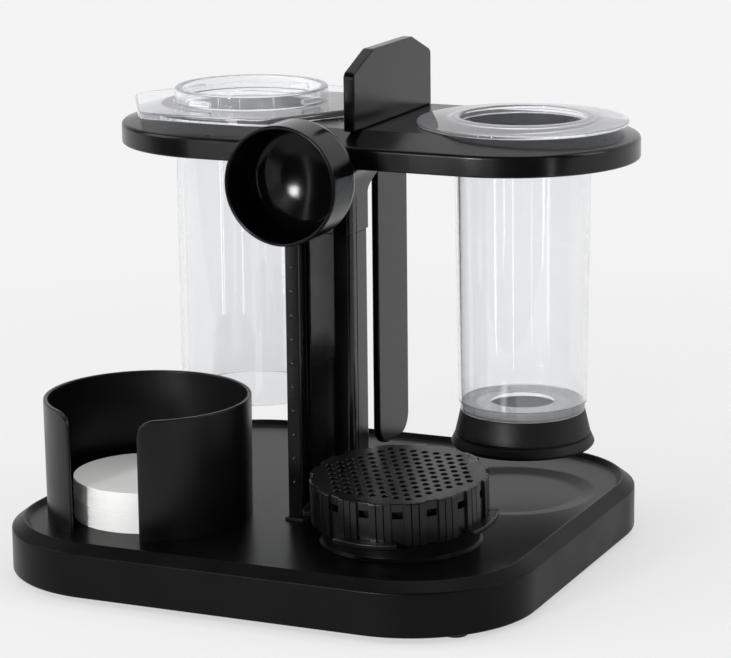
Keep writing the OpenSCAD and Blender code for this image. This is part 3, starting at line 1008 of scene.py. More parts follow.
@dataclass
class RingPlate:
    """The plate that the press hangs in, with the bracket under it."""

    column: Column
    centre: Point2 = (1.45, 43.5)
    half: float = 60.8
    radius: float = 54.5
    low: float = 165.3
    wall_top: float = 174.2
    top: float = 179.0
    bevel: float = 17.2
    bevel_margin: float = 0.15
    wall_edge: float = 1.8
    top_edge: float = 1.2
    under_edge: float = 0.7
    inner_edge: float = 0.5
    mouth_edge: float = 0.4
    bevel_share: float = 0.3
    bore_edge: float = 0.3
    skin: float = 2.6
    ceiling: float = 171.7
    bores: tuple[tuple[Point2, float], ...] = (((-58.65, 46.0), 33.5), ((66.95, 46.0), 31.1))
    bore_wall: float = 2.6
    slot_centre: Point2 = (8.75, 39.4)
    slot_size: Point2 = (4.1, 32.0)
    slot_corner: float = 0.4
    flare_low: float = 152.0
    flare_reach: float = 37.0
    proud: float = 1.9
    fillet: float = 6.7

    def section(self, inward: float, height: float) -> list[Point3]:
        """Gives the plate's outline at a height, moved inwards.

        Args:
            inward: How far it is moved inwards.
            height: The height.

        Returns:
            The outline's points.
        """
        radius = self.radius - inward
        outline = rounded_rectangle(2 * (self.half + radius), 2 * radius, radius, steps=32)
        return [(self.centre[0] + x, self.centre[1] + y, height) for x, y in outline]

    def slot_ring(self, solid: Solid, grow: float, height: float) -> Ring:
        """Adds a ring round the stirrer's slot.

        Args:
            solid: The mesh to add it to.
            grow: How far it lies outside the slot.
            height: The height.

        Returns:
            The ring.
        """
        x, y = self.slot_centre
        width, depth = (size + 2 * grow for size in self.slot_size)
        outline = rounded_rectangle(width, depth, self.slot_corner + grow, steps=3)
        return solid.ring([(x + px, y + py, height) for px, py in outline])

    def plate(self) -> bpy.types.Object:
        """Makes the plate with its two bores.

        Returns:
            The piece.
        """
        profile = round_corners(
            [
                (self.bevel + self.bevel_margin, self.top, 0),
                (self.bevel, self.top, self.top_edge),
                (0, self.wall_top, self.wall_edge),
                (0, self.low, self.under_edge),
                (self.skin, self.low, self.inner_edge),
                (self.skin, self.ceiling, 0),
            ],
            closed=False,
        )
        solid = Solid("plate_shell")
        rings = solid.skin([self.section(*point) for point in profile])
        tops = []
        ceilings = []
        for centre, bore in self.bores:
            tube = round_corners(
                [
                    (bore + self.mouth_edge, self.top, 0),
                    (bore, self.top, self.mouth_edge),
                    (bore, self.low, self.bore_edge),
                    (bore + self.bore_wall, self.low, self.bore_edge),
                    (bore + self.bore_wall, self.ceiling, 0),
                ],
                closed=False,
            )
            made = solid.turn(tube, centre, looped=False)
            tops.append(made[0])
            ceilings.append(made[-1])
        edge = self.mouth_edge
        bevel = edge * self.bevel_share
        slot = [self.slot_ring(solid, grow, height) for grow, height in (
            (edge, self.top), (bevel, self.top - bevel), (0, self.top - edge), (0, self.ceiling))]
        for one, two in zip(slot, slot[1:]):
            solid.bridge(one, two)
        solid.sheet(rings[0], [*tops, slot[0]])
        solid.sheet(rings[-1], [*ceilings, slot[-1]])
        return solid.finish()

    def bracket_row(self, height: float) -> list[Point3]:
        """Gives the bracket's plan at a height.

        Args:
            height: The height.

        Returns:
            The plan's points.
        """
        column = self.column
        up = max(0.0, (height - self.flare_low) / (self.low - self.flare_low))
        back = column.depth + self.proud + self.flare_reach * up * up
        rise = min(self.fillet, max(0.0, height - (self.low - self.fillet)))
        spread = self.fillet - math.sqrt(self.fillet ** 2 - rise ** 2)
        groove = column.groove_depth * (1 - smooth_step((height - self.flare_low + 1) / 2))
        return column.place(column.outline(column.width / 2 + spread, back, groove), height)

    def bracket(self) -> bpy.types.Object:
        """Makes the bracket that flares into the plate.

        Returns:
            The piece.
        """
        column = self.column
        edge = column.joint_edge
        bevel = edge * column.joint_share
        solid = Solid("plate_bracket")
        plan = column.outline(column.width / 2, column.depth + self.proud, column.groove_depth)
        rows = [
            column.place(inset(plan, edge), column.joint + column.joint_gap),
            column.place(inset(plan, bevel), column.joint + bevel),
            column.place(plan, column.joint + edge),
        ]
        flat = [self.flare_low - 1, self.flare_low, self.flare_low + 1]
        steps = 18
        rise = self.low - self.flare_low - 1
        heights = flat + [self.flare_low + 1 + rise * (k + 1) / steps for k in range(steps)]
        rows += [self.bracket_row(height) for height in heights]
        rows.append([(x, y, self.ceiling + 1) for x, y, _ in rows[-1]])
        rings = solid.skin(rows)
        solid.cap(rings[0])
        solid.cap(rings[-1])
        return solid.finish()

    def build(self) -> None:
        """Builds and dresses the plate."""
        dress(self.plate(), PLATE_GLOSS, Body.STAND, ["ring_plate"])
        dress(self.bracket(), POST_GLOSS, Body.STAND)


@dataclass
class FilterHolder:
    """The round holder with its front slot, and the stack of paper filters in it."""

    centre: Point2 = (-63.45, -46.7)
    low: float = 21.6
    height: float = 50.4
    radius: float = 43.0
    taper: float = 0.4
    wall: float = 1.8
    lip: float = 0.6
    slot: float = 31.7
    slot_corner: float = 7.0
    filter_radius: float = 31.75
    stack: float = 17.0
    sheets: int = 62
    sheet_share: float = 0.9
    sheet_edge: float = 0.05
    sheet_step: float = 0.12
    sheet_hold: float = 0.8
    sheet_trim: float = 0.15
    sheet_spread: float = 0.18
    sheet_seed: int = 7
    end_ease: tuple[Point2, ...] = ((0, 0.42), (0.3, 0.16), (1, 0))
    end_crowd: float = 1.6

    def rim(self, angle: float) -> float:
        """Gives the rim's height over the floor at an angle from the slot's middle.

        Args:
            angle: The angle in degrees.

        Returns:
            The height.
        """
        across = self.radius * math.sin(math.radians(min(90.0, angle))) - self.slot / 2
        near = max(0.0, self.slot_corner - max(0.0, across))
        return self.height - self.slot_corner + math.sqrt(self.slot_corner ** 2 - near ** 2)

    def wall_section(self, angle: float, shrink: float) -> list[Point2]:
        """Gives the wall's section as (radius, height) at an angle.

        Args:
            angle: The angle from the middle of the slot, in degrees.
            shrink: How far the section's sides move inwards, for a rounded end.

        Returns:
            The section's outline.
        """
        top = self.rim(angle)
        lean = self.taper * top / self.height
        outer = self.radius - self.taper - shrink
        inner = self.radius - self.taper - self.wall + shrink
        lip = min(self.lip, (outer - inner) / 2 * 0.98)
        corners = [(inner, 0, 0), (outer, 0, 0)]
        corners += [(side + lean, top - shrink, lip) for side in (outer, inner)]
        return round_corners(corners, steps=4)

    def shell(self) -> bpy.types.Object:
        """Makes the holder's wall.

        Returns:
            The piece.
        """
        edge = math.degrees(math.asin(self.slot / 2 / self.radius))
        corner_end = math.degrees(math.asin((self.slot / 2 + self.slot_corner) / self.radius))
        rounding = math.degrees(self.wall / 2 / self.radius)
        places = [(edge + rounding * along, self.wall * inward) for along, inward in self.end_ease]
        steps = 14
        for k in range(1, steps + 1):
            share = (k / steps) ** self.end_crowd
            places.append((edge + rounding + (corner_end - edge - rounding) * share, 0.0))
        far = 64
        around = [(corner_end + (360 - 2 * corner_end) * k / far, 0.0) for k in range(1, far)]
        places += around + [(360 - angle, shrink) for angle, shrink in reversed(places)]
        solid = Solid("holder_shell")
        rows = []
        for angle, shrink in places:
            section = self.wall_section(min(angle, 360 - angle), shrink)
            row = []
            for radius, height in section:
                x, y = polar(radius, angle - 90)
                row.append((self.centre[0] + x, self.centre[1] + y, self.low + height))
            rows.append(row)
        rings = solid.skin(rows)
        solid.cap(rings[0])
        solid.cap(rings[-1])
        return solid.finish()

    def papers(self) -> bpy.types.Object:
        """Makes the stack of thin round papers, none quite on the one below.

        Returns:
            The piece.
        """
        chance = random.Random(self.sheet_seed)
        solid = Solid("paper_stack")
        each = self.stack / self.sheets
        drift = Vector((0.0, 0.0))
        for i in range(self.sheets):
            step = self.sheet_step
            shift = Vector((chance.uniform(-step, step), chance.uniform(-step, step)))
            drift = drift * self.sheet_hold + shift
            radius = self.filter_radius - self.sheet_trim - chance.uniform(0, self.sheet_spread)
            low = self.low + i * each + 0.01
            wave = chance.uniform(0, 360)
            high = low + each * self.sheet_share
            inner = radius - self.sheet_edge
            half = low + each * self.sheet_share / 2
            profile = [(0, low), (inner, low), (radius, half), (inner, high), (0, high)]
            middle = (self.centre[0] + drift.x, self.centre[1] + drift.y)
            solid.turn(profile, middle, looped=False, reach=self.ragged(radius, wave), steps=96)
        return solid.finish()

    def ragged(self, radius: float, wave: float) -> Callable[[float, float], float]:
        """Gives a slightly uneven edge for one paper.

        Args:
            radius: The paper's radius.
            wave: The angle at which its edge stands out most.

        Returns:
            A function of (radius, angle) for Solid.turn.
        """
        def reach(at: float, angle: float) -> float:
            """Gives the radius at an angle."""
            uneven = self.sheet_edge * (math.sin(math.radians(3 * angle + wave)) - 1)
            return at + uneven if at > radius / 2 else at
        return reach

    def build(self) -> None:
        """Builds and dresses the holder and the papers."""
        dress(self.shell(), HOLDER_SATIN, Body.STAND, ["filter_holder"])
        dress(self.papers(), PAPER, Body.FILTERS, ["paper_filters"])


@dataclass
class FilterCap:
    """The toothed filter cap with its sieve."""

    centre: Point2 = (47.95, -43.0)
    low: float = 31.0
    top: float = 49.0
    lean: float = 4.2
    radius: float = 36.2
    tooth_rise: float = 1.1
    tooth_turn: float = 10.75
    wall: float = 1.8
    disc: float = 2.0
    teeth: int = 16
    tooth_angle: float = 14.5
    tooth_slope: float = 0.15
    tooth_edge: float = 0.35
    flats: int = 3
    rib_gap: float = 0.8
    rib_depth: float = 0.45
    edge: float = 0.7
    foot_edge: float = 0.4
    window_angle: float = 7.0
    window_low: float = 11.4
    window_high: float = 14.4
    hole_pitch: float = 5.1
    hole_radius: float = 1.45
    hole_field: float = 31.0
    hole_rows: int = 7
    hole_steps: int = 12
    hole_flare: float = 0.22
    hole_sink: float = 0.25
    lugs: int = 4
    lug_angle: float = 41.0
    lug_first: float = -89.5
    lug_rise: float = 3.7
    lug_height: float = 2.3
    lug_corner: float = 1.5
    lug_edge: float = 0.5
    lug_root: float = 0.5
    crisp_angle: float = 28.0

    def plan(self) -> list[tuple[float, float, bool]]:
        """Gives the cap's outline.

        Returns:
            The points as (angle, radius, whether a window starts there).
        """
        pitch = 360 / self.teeth
        gap = pitch - self.tooth_angle
        body = self.radius - self.tooth_rise
        flat = self.tooth_angle / self.flats
        points: list[tuple[float, float, bool]] = []
        for i in range(self.teeth):
            start = self.tooth_turn + i * pitch - self.tooth_angle / 2
            points.append((start + self.tooth_slope, body, False))
            for k in range(self.flats):
                first = start + k * flat + (self.rib_gap / 2 if k else self.tooth_edge)
                inset_end = self.rib_gap / 2 if k < self.flats - 1 else self.tooth_edge
                last = start + (k + 1) * flat - inset_end
                points += [(first, self.radius, False), (last, self.radius, False)]
                if k < self.flats - 1:
                    points.append(((last + first + flat) / 2, self.radius - self.rib_depth, False))
            end = start + self.tooth_angle
            side = (gap - self.window_angle) / 2
            points.append((end - self.tooth_slope, body, False))
            points.append((end + side, body, True))
            points.append((end + side + self.window_angle / 2, body, True))
            points.append((end + gap - side, body, False))
        return points

    def side(self, solid: Solid) -> tuple[Ring, Ring]:
        """Makes the toothed side with its windows.

        Args:
            solid: The mesh to add it to.

        Returns:
            The ring round the top face, and the one round the ceiling inside.
        """
        plan = self.plan()
        inner_radius = self.radius - self.tooth_rise - self.wall
        levels = [self.low, self.low + self.window_low, self.low + self.window_high]
        outer_rows = [(self.foot_edge, self.low), (0, self.low + self.foot_edge)]
        outer_rows += [(0, levels[1]), (0, levels[2]), (0, self.top - self.edge)]
        for k in range(1, 5):
            angle = math.radians(90 * k / 4)
            drop = self.edge * (1 - math.sin(angle))
            outer_rows.append((self.edge * (1 - math.cos(angle)), self.top - drop))
        outer = [solid.ring([self.at(angle, radius - inward, height) for angle, radius, _ in plan])
                 for inward, height in outer_rows]
        inner = [solid.ring([self.at(angle, inner_radius, height) for angle, _, _ in plan])
                 for height in (*levels, self.top - self.disc)]
        count = len(plan)
        for rows, window_row in ((outer, 2), (inner, 1)):
            for row, (one, two) in enumerate(zip(rows, rows[1:])):
                for i in range(count):
                    j = (i + 1) % count
                    if not (row == window_row and plan[i][2]):
                        solid.mesh.faces.new((one[i], one[j], two[j], two[i]))
        solid.bridge(outer[0], inner[0])
        for i in range(count):
            j = (i + 1) % count
            if not plan[i][2]:
                continue
            for row_out, row_in in ((2, 1), (3, 2)):
                one, two = outer[row_out], inner[row_in]
                solid.mesh.faces.new((one[i], one[j], two[j], two[i]))
            for k, neighbour in ((i, i - 1), (j, j)):
                if not plan[neighbour][2]:
                    solid.mesh.faces.new((outer[2][k], outer[3][k], inner[2][k], inner[1][k]))
        return outer[-1], inner[-1]

    def at(self, angle: float, radius: float, height: float) -> Point3:
        """Gives a point of the cap from its angle, radius and height."""
        x, y = polar(radius, angle)
        return self.leaning(self.centre[0] + x, self.centre[1] + y, height)

    def leaning(self, x: float, y: float, z: float) -> Point3:
        """Leans a point to the front with the cap.

        Args:
            x: The point's X.
            y: Its Y.
            z: Its Z.

        Returns:
            The moved point.
        """
        turn = Matrix.Rotation(math.radians(self.lean), 3, "X")
        pivot = Vector((*self.centre, self.top))
        return tuple(turn @ (Vector((x, y, z)) - pivot) + pivot)

    def holes(self) -> list[Point2]:
        """Gives the middles of the sieve's holes, from the cap's middle.

        Returns:
            The middles.
        """
        rings = self.hole_rows
        row = self.hole_pitch * math.sin(math.radians(60))
        found = []
        for j in range(-rings, rings + 1):
            for i in range(-rings, rings + 1):
                x = (i + (abs(j) % 2) / 2) * self.hole_pitch
                y = j * row
                if math.hypot(x, y) < self.hole_field:
                    found.append((x, y))
        return found

    def shell(self) -> bpy.types.Object:
        """Makes the cap.

        Returns:
            The piece.
        """
        solid = Solid("cap_shell")
        rim, ceiling = self.side(solid)
        tops = []
        lows = []
        for x, y in self.holes():
            circle = [polar(self.hole_radius, 360 * k / self.hole_steps) for k in range(self.hole_steps)]
            rings = []
            levels = ((self.hole_flare, self.top), (0, self.top - self.hole_sink), (0, self.top - self.disc))
            for grow, height in levels:
                share = 1 + grow / self.hole_radius
                rings.append(solid.ring([
                    self.leaning(self.centre[0] + x + px * share, self.centre[1] + y + py * share, height)
                    for px, py in circle]))
            solid.bridge(rings[0], rings[1])
            solid.bridge(rings[1], rings[2])
            tops.append(rings[0])
            lows.append(rings[2])
        solid.sheet(rim, tops)
        solid.sheet(ceiling, lows)
        body = self.radius - self.tooth_rise - self.lug_root
        for i in range(self.lugs):
            middle = self.lug_first + i * 360 / self.lugs
            band = arc_band(self.radius + self.lug_rise, body, middle, self.lug_angle, self.lug_corner, 16)
            outline = [(self.centre[0] + x, self.centre[1] + y) for x, y in band]
            solid.slab(outline, self.low, self.low + self.lug_height, self.lug_edge, self.leaning)
        return solid.finish(self.crisp_angle)

    def build(self) -> None:
        """Builds and dresses the cap."""
        dress(self.shell(), CAP_BLACK, Body.CAP, ["filter_cap"])


@dataclass
class Chamber:
    """The clear press chamber with its six-sided flange."""

    centre: Point2 = (-58.65, 46.0)
    radius: float = 33.0
    bore: float = 29.9
    low: float = 53.5
    seat: float = 179.0
    top: float = 188.4
    flange: float = 3.2
    flat: float = 49.8
    corner_limit: float = 56.4
    corner_soft: float = 1.2
    collar: float = 33.2
    lug_angle: float = 20.0
    lug_first: float = -105.0
    lug_count: int = 4
    lug_rise: float = 1.7
    lug_low: float = 183.4
    lug_height: float = 2.2
    lug_gap: float = 0.02
    lug_corner: float = 0.8
    lug_edge: float = 0.4

    def reach(self, radius: float, angle: float) -> float:
        """Gives the real radius of the flange at an angle.

        Args:
            radius: The radius in the profile.
            angle: The angle in degrees.

        Returns:
            The real radius.
        """
        share = min(1.0, max(0.0, (radius - self.collar) / (self.flat - self.collar)))
        away = math.radians((angle % 60) - 30)
        corner = self.flat / math.cos(away)
        limit = self.corner_limit
        soft = self.corner_soft
        eased = -soft * math.log(math.exp(-corner / soft) + math.exp(-limit / soft))
        floor = -soft * math.log(math.exp(-self.flat / soft) + math.exp(-limit / soft))
        return radius + share * (eased - floor)

    def shell(self) -> bpy.types.Object:
        """Makes the chamber.

        Returns:
            The piece.
        """
        edge = 0.8
        profile = round_corners(
            [
                (self.bore, self.low, 0.6),
                (self.radius, self.low, edge),
                (self.radius, self.seat, 0.3),
                (self.flat, self.seat, 0.7),
                (self.flat, self.seat + self.flange, 0.9),
                (self.collar, self.seat + self.flange, edge),
                (self.collar, self.top, 0.9),
                (self.bore, self.top, 0.6),
            ],
            steps=4,
        )
        solid = Solid("chamber_shell")
        solid.turn(profile, self.centre, reach=self.reach, steps=192)
        return solid.finish()

    def lugs(self) -> bpy.types.Object:
        """Makes the small lugs round the neck.

        Returns:
            The piece.
        """
        solid = Solid("chamber_lugs")
        for i in range(self.lug_count):
            middle = self.lug_first + i * 360 / self.lug_count
            reach = self.collar + self.lug_rise
            band = arc_band(reach, self.collar + self.lug_gap, middle, self.lug_angle, self.lug_corner, 8)
            outline = [(self.centre[0] + x, self.centre[1] + y) for x, y in band]
            solid.slab(outline, self.lug_low, self.lug_low + self.lug_height, self.lug_edge)
        return solid.finish()

    def build(self) -> None:
        """Builds and dresses the chamber."""
        dress(self.shell(), CHAMBER_CLEAR, Body.CHAMBER, ["chamber"])
        dress(self.lugs(), CHAMBER_CLEAR, Body.CHAMBER)


@dataclass
class Plunger:
    """The clear plunger tube and the rubber seal at its foot."""

    centre: Point2 = (66.95, 46.0)
    seat: float = 179.0
    flange: float = 44.3
    flange_edge: float = 1.6
    crown: float = 182.4
    radius: float = 29.0
    mouth: float = 26.5
    foot_radius: float = 27.25
    floor: float = 60.3
    floor_radius: float = 25.9
    ring_radius: float = 26.5
    ring_low: float = 56.4
    hole: float = 13.6
    stub: float = 20.0
    stub_low: float = 44.0
    seal_low: float = 41.0
    seal_radius: float = 30.6
    waist: float = 28.8
    plug_top: float = 58.3
    band: float = 4.6
    gap: float = 0.02

    def tube(self) -> bpy.types.Object:
        """Makes the tube with its flange.

        Returns:
            The piece.
        """
        profile = round_corners(
            [
                (self.hole, self.stub_low, 0.2),
                (self.stub, self.stub_low, 0.3),
                (self.stub, self.ring_low, 0.2),
                (self.ring_radius, self.ring_low, 0.5),
                (self.ring_radius, self.floor, 0.15),
                (self.foot_radius, self.floor, 0.3),
                (self.radius, self.seat, 0.4),
                (self.flange, self.seat, 0.5),
                (self.flange, self.seat + self.flange_edge, 0.6),
                (self.radius, self.crown, 0.8),
                (self.mouth, self.crown, 0.8),
                (self.floor_radius, self.floor, 0.8),
                (self.hole, self.floor, 0.3),
            ],
            steps=4,
        )
        solid = Solid("plunger_shell")
        solid.turn(profile, self.centre, steps=160)
        return solid.finish()

    def seal(self) -> bpy.types.Object:
        """Makes the rubber seal.

        Returns:
            The piece.
        """
        low = self.seal_low
        groove = low + self.band
        gap = self.gap
        profile = round_corners(
            [
                (0, low + 0.6, 0),
                (self.stub, low, 2.0),
                (self.seal_radius - 1, low, 0.5),
                (self.seal_radius, low + 1.4, 0.7),
                (self.waist + 0.4, groove, 0.4),
                (self.waist - 0.5, groove + 0.3, 0.1),
                (self.waist - 0.5, groove + 0.6, 0.1),
                (self.waist, groove + 0.9, 0.3),
                (self.ring_radius, self.ring_low, 0.5),
                (self.stub + gap, self.ring_low, 0),
                (self.stub + gap, self.stub_low - gap, 0),
                (self.hole - gap, self.stub_low - gap, 0),
                (self.hole - gap, self.plug_top, 0.4),
                (0, self.plug_top, 0),
            ],
            closed=False,
        )
        solid = Solid("seal_shell")
        solid.turn(profile, self.centre, looped=False, steps=160)
        return solid.finish()

    def build(self) -> None:
        """Builds and dresses the plunger."""
        dress(self.tube(), PLUNGER_CLEAR, Body.PLUNGER, ["plunger_tube"])
        dress(self.seal(), RUBBER, Body.PLUNGER, ["plunger_seal"])


@dataclass
class Scoop:
    """The measuring scoop, standing on its handle."""

    centre: Point2 = (-2.35, 163.1)
    mouth: float = -45.2
    radius: float = 24.6
    depth: float = 28.4
    wall: float = 1.6
    dome: float = 11.0
    crown: float = 45.0
    front: float = -35.0
    back: float = -22.0
    width: float = 5.8
    rear_width: float = 5.2
    flange: float = 1.5
    web: float = 1.8
    low: float = 18.0
    top: float = 139.0
    top_lift: float = 1.6
    pip: float = 0.9
    pip_first: float = 37.9
    pip_step: float = 10.05
    pips: int = 10

    def bowl(self, solid: Solid) -> None:
        """Adds the bowl, which opens to the front.

        Args:
            solid: The mesh to add it to.
        """
        inner = self.radius - self.wall
        floor = self.depth - self.wall
        flat = self.radius - self.dome
        slope = flat / self.crown
        crown: list[Corner] = [
            (flat * k / 8, floor - (flat * k / 8) ** 2 / self.crown / 2, 0) for k in range(7, -1, -1)
        ]
        corner = floor - flat * slope / 2 - (inner - flat) * slope
        profile = round_corners(
            [
                (0, self.depth, 0),
                (self.radius, self.depth, self.dome),
                (self.radius, 0, 0.7),
                (inner, 0, 0.7),
                (inner, corner, self.dome - self.wall),
                *crown,
            ],
            closed=False,
            steps=12,
        )
        solid.turn(
            profile, (0, 0), looped=False,
            place=lambda x, y, z: (self.centre[0] + x, self.mouth + z, self.centre[1] + y),
        )

    def handle(self, solid: Solid) -> None:
        """Adds the I-shaped handle.

        Args:
            solid: The mesh to add it to.
        """
        w = self.width / 2
        r = self.rear_width / 2
        t = self.web / 2
        f = self.front
        b = self.back
        corners: list[Corner] = [
            (w, f, 0.4), (w, f + self.flange, 0.2), (t, f + self.flange, 0.3),
            (t, b - self.flange, 0.3), (r, b - self.flange, 0.2), (r, b, 0.4),
            (-r, b, 0.4), (-r, b - self.flange, 0.2), (-t, b - self.flange, 0.3),
            (-t, f + self.flange, 0.3), (-w, f + self.flange, 0.2), (-w, f, 0.4),
        ]
        outline = [(self.centre[0] + x, y) for x, y in round_corners(corners, steps=3)]
        solid.slab(outline, self.low, self.top, 0.2, self.lifted, steps=2)

    def lifted(self, x: float, y: float, z: float) -> Point3:
        """Lifts the back of the handle's top into the bowl's rounded wall.

        Args:
            x: The point's X.
            y: Its Y.
            z: Its Z.

        Returns:
            The moved point.
        """
        up = (z - self.low) / (self.top - self.low)
        along = (y - self.front) / (self.back - self.front)
        return x, y, z + self.top_lift * up * along

    def pip_row(self, solid: Solid) -> None:
        """Adds the row of small pips down the handle's front.

        Args:
            solid: The mesh to add it to.
        """
        dome = [(self.pip * math.cos(math.radians(a)), self.pip * math.sin(math.radians(a)))
                for a in (-30, *range(0, 91, 18))]
        for i in range(self.pips):
            level = self.pip_first + i * self.pip_step
            solid.turn(
                dome, (0, 0), looped=False, steps=20,
                place=lambda x, y, z, level=level: (self.centre[0] + x, self.front - z, level + y),
            )

    def build(self) -> None:
        """Builds and dresses the scoop."""
        solid = Solid("scoop_shell")
        self.bowl(solid)
        self.handle(solid)
        dress(solid.finish(), SCOOP_GLOSS, Body.SCOOP, ["scoop"])
        # The pips' finish is lighter than the scoop's black plastic: a painted glint.
        marks = Solid("scoop_pips")
        self.pip_row(marks)
        dress(marks.finish(), PIP_PAINTED_GLINT, Body.SCOOP)


@dataclass
class Stirrer:
    """The flat stirrer that hangs through the plate."""

    centre: Point2 = (8.75, 39.4)
    thickness: float = 5.0
    blade_thickness: float = 3.1
    head_low: float = 179.0
    head_top: float = 211.0
    head_width: float = 81.5
    head_run: float = 20.0
    head_drop: float = 8.0
    blade_width: float = 31.0
    blade_low: float = 39.0
    blade_corner: float = 9.0

    def build(self) -> None:
        """Builds and dresses the stirrer."""
        half = self.head_width / 2
        head = round_corners(
            [
                (-half, self.head_low, 0.6),
                (half, self.head_low, 0.6),
                (half, self.head_top - self.head_drop, 3),
                (half - self.head_run, self.head_top, 4),
                (-half + self.head_run, self.head_top, 4),
                (-half, self.head_top - self.head_drop, 3),
            ]
        )
        side = self.blade_width / 2
        blade = round_corners(
            [
                (-side, self.blade_low, self.blade_corner),
                (side, self.blade_low, self.blade_corner),
                (side, self.head_low + 1, 0),
                (-side, self.head_low + 1, 0),
            ],
            steps=10,
        )
        solid = Solid("stirrer_shell")
        solid.slab(head, -self.thickness / 2, self.thickness / 2, 0.8, self.hung)
        solid.slab(blade, -self.blade_thickness / 2, self.blade_thickness / 2, 0.6, self.hung)
        dress(solid.finish(), STIRRER_GLOSS, Body.STIRRER, ["stirrer"])

    def hung(self, x: float, y: float, z: float) -> Point3:
        """Stands a flat point up, across the plate."""
        return self.centre[0] + z, self.centre[1] + x, y


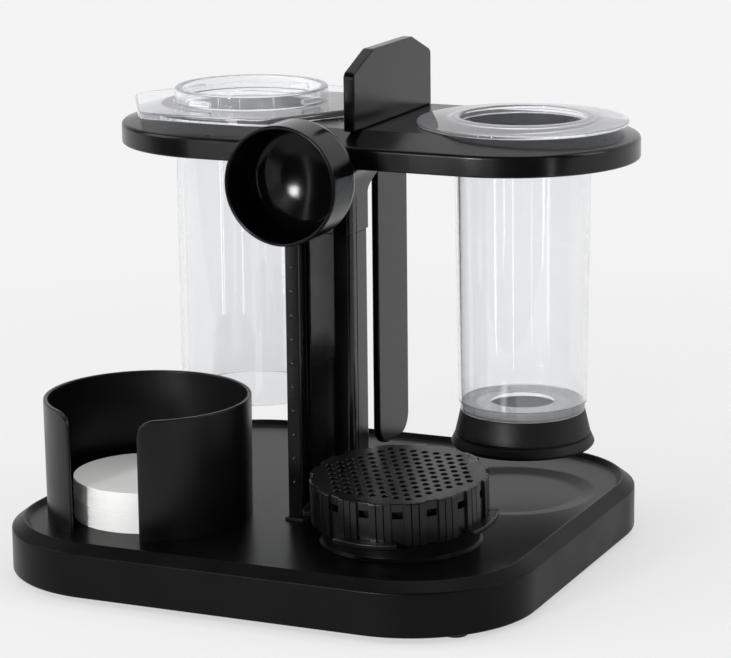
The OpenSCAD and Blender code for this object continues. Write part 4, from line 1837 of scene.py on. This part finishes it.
@dataclass
class Studio:
    """The camera, the lamps, the floor and the world around the stand."""

    camera_at: Point3 = (516.39, -1120.92, 382.34)
    camera_to: Point3 = (28.03, 15.23, 117.22)
    roll: float = -0.44
    lens: float = 149.37
    sensor: float = 36.0
    sight: Point2 = (0.05, 50.0)
    shift: Point2 = (-0.0597, -0.0737)
    white: float = 0.9
    ambient: float = 0.42
    dark: float = 0.02
    white_from: float = 0.75
    floor_front: float = -300.0
    floor_far: float = 6000.0
    floor_low: Colour = (0.86, 0.86, 0.855)
    floor_high: Colour = (0.88, 0.88, 0.875)
    fade_from: float = 200.0
    fade_to: float = 700.0
    glow: float = 0.62

    def camera(self) -> None:
        """Makes the camera and sets it as the scene's own."""
        data = bpy.data.cameras.new("photo_camera")
        data.sensor_fit = "HORIZONTAL"
        data.sensor_width = self.sensor
        data.lens = self.lens
        data.shift_x, data.shift_y = self.shift
        data.clip_start, data.clip_end = self.sight
        made = bpy.data.objects.new("photo_camera", data)
        at = Vector(self.camera_at)
        ahead = (Vector(self.camera_to) - at).normalized()
        right = ahead.cross(Vector((0, 0, 1))).normalized()
        up = right.cross(ahead)
        turn = math.radians(self.roll)
        level = right * math.cos(turn) + up * math.sin(turn)
        high = up * math.cos(turn) - right * math.sin(turn)
        aim = Matrix((level, high, -ahead)).transposed().to_4x4()
        made.matrix_world = Matrix.Translation(at * MM) @ aim
        bpy.context.scene.collection.objects.link(made)
        bpy.context.scene.camera = made

    def lamp(self, name: str, at: Point3, to: Point3, size: Point2, power: float) -> None:
        """Adds one soft box.

        Args:
            name: Its name.
            at: Where it stands.
            to: The point that it faces.
            size: Its width and height.
            power: Its power in watts.
        """
        data = bpy.data.lights.new(name, "AREA")
        data.shape = "RECTANGLE"
        data.size = size[0] * MM
        data.size_y = size[1] * MM
        data.energy = power
        made = bpy.data.objects.new(name, data)
        made.location = Vector(at) * MM
        made.rotation_euler = (Vector(to) - Vector(at)).to_track_quat("-Z", "Y").to_euler()
        bpy.context.scene.collection.objects.link(made)

    def world(self) -> None:
        """Makes a world that is white to the eye, and dark in front for the gloss."""
        world = bpy.data.worlds.new("studio")
        bpy.context.scene.world = world
        graph = Graph(world)
        way = graph.add("ShaderNodeTexCoord").outputs["Generated"]
        to_back = graph.add("ShaderNodeSeparateXYZ", {"Vector": way}).outputs["Y"]
        back = graph.span(to_back, 0.0, self.white_from, self.dark, self.white, "SMOOTHSTEP")
        path = graph.add("ShaderNodeLightPath").outputs
        gloss = graph.blend(path["Is Glossy Ray"], self.ambient, back)
        seen = graph.greater(path["Is Camera Ray"], path["Is Transmission Ray"])
        level = graph.blend(seen, gloss, self.white)
        sky = graph.add("ShaderNodeBackground", {"Color": (1, 1, 1, 1), "Strength": level})
        graph.add("ShaderNodeOutputWorld", {"Surface": sky.outputs["Background"]})

    def floor(self) -> None:
        """Makes the pale floor."""
        solid = Solid("studio_floor")
        far = self.floor_far
        corners = ((-far, self.floor_front), (far, self.floor_front), (far, far), (-far, far))
        solid.cap(solid.ring((x, y, 0.0) for x, y in corners))
        made = solid.finish()
        pale = bpy.data.materials.new("pale_floor")
        graph = Graph(pale)
        place = graph.place()
        tone = graph.tint(graph.cloud(place, 5.0, 2.0), self.floor_low, self.floor_high)
        shader = graph.add(
            "ShaderNodeBsdfPrincipled",
            {"Base Color": tone, "Roughness": 0.9, "Specular IOR Level": 0.0},
        )
        away = graph.add("ShaderNodeVectorMath", {"0": place}, operation="LENGTH").outputs["Value"]
        fade = graph.span(away, self.fade_from * MM, self.fade_to * MM, self.glow, 1.0, "SMOOTHSTEP")
        white = graph.add("ShaderNodeEmission", {"Color": (1, 1, 1, 1), "Strength": self.white})
        mixed = graph.layer(fade, shader.outputs["BSDF"], white.outputs["Emission"])
        graph.add("ShaderNodeOutputMaterial", {"Surface": mixed})
        made.data.materials.append(pale)
        made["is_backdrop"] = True

    def build(self) -> None:
        """Builds the studio."""
        self.camera()
        self.world()
        self.floor()
        middle = (0.0, 0.0, 100.0)
        foot = (0.0, 0.0, 0.0)
        for name, at, to, size, power in (
            ("left_box", (-1300, -500, 800), middle, (900, 1200), 8),
            ("right_box", (1500, 300, 900), middle, (700, 1200), 7),
            ("top_box", (0, 300, 1700), middle, (1200, 900), 7),
            ("front_box", (-330, -1770, 330), middle, (260, 260), 20),
            ("left_strip", (-800, -1600, 0), foot, (50, 2000), 2.4),
            ("middle_strip", (200, -1800, 0), foot, (30, 2000), 1.2),
            ("right_strip", (1500, -900, 0), foot, (50, 2000), 2.4),
        ):
            self.lamp(name, at, to, size, power)
        bpy.context.scene.view_settings.view_transform = "Standard"


def write_sizes() -> None:
    """Gathers the boxes of the frame and of the dressed part, and keeps nothing of them."""
    boxes = {"cad": CAD_BOX, "visual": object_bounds()}
    {name: [list(corner) for corner in box] for name, box in boxes.items()}


def main() -> None:
    """Builds the studio and every piece of the stand."""
    logging.basicConfig(level=logging.INFO, format="%(message)s")
    Studio().build()
    column = Column()
    for part in (
        Tray(),
        column,
        RingPlate(column),
        FilterHolder(),
        FilterCap(),
        Chamber(),
        Plunger(),
        Scoop(),
        Stirrer(),
    ):
        part.build()
    write_sizes()


if __name__ == "__main__":
    main()
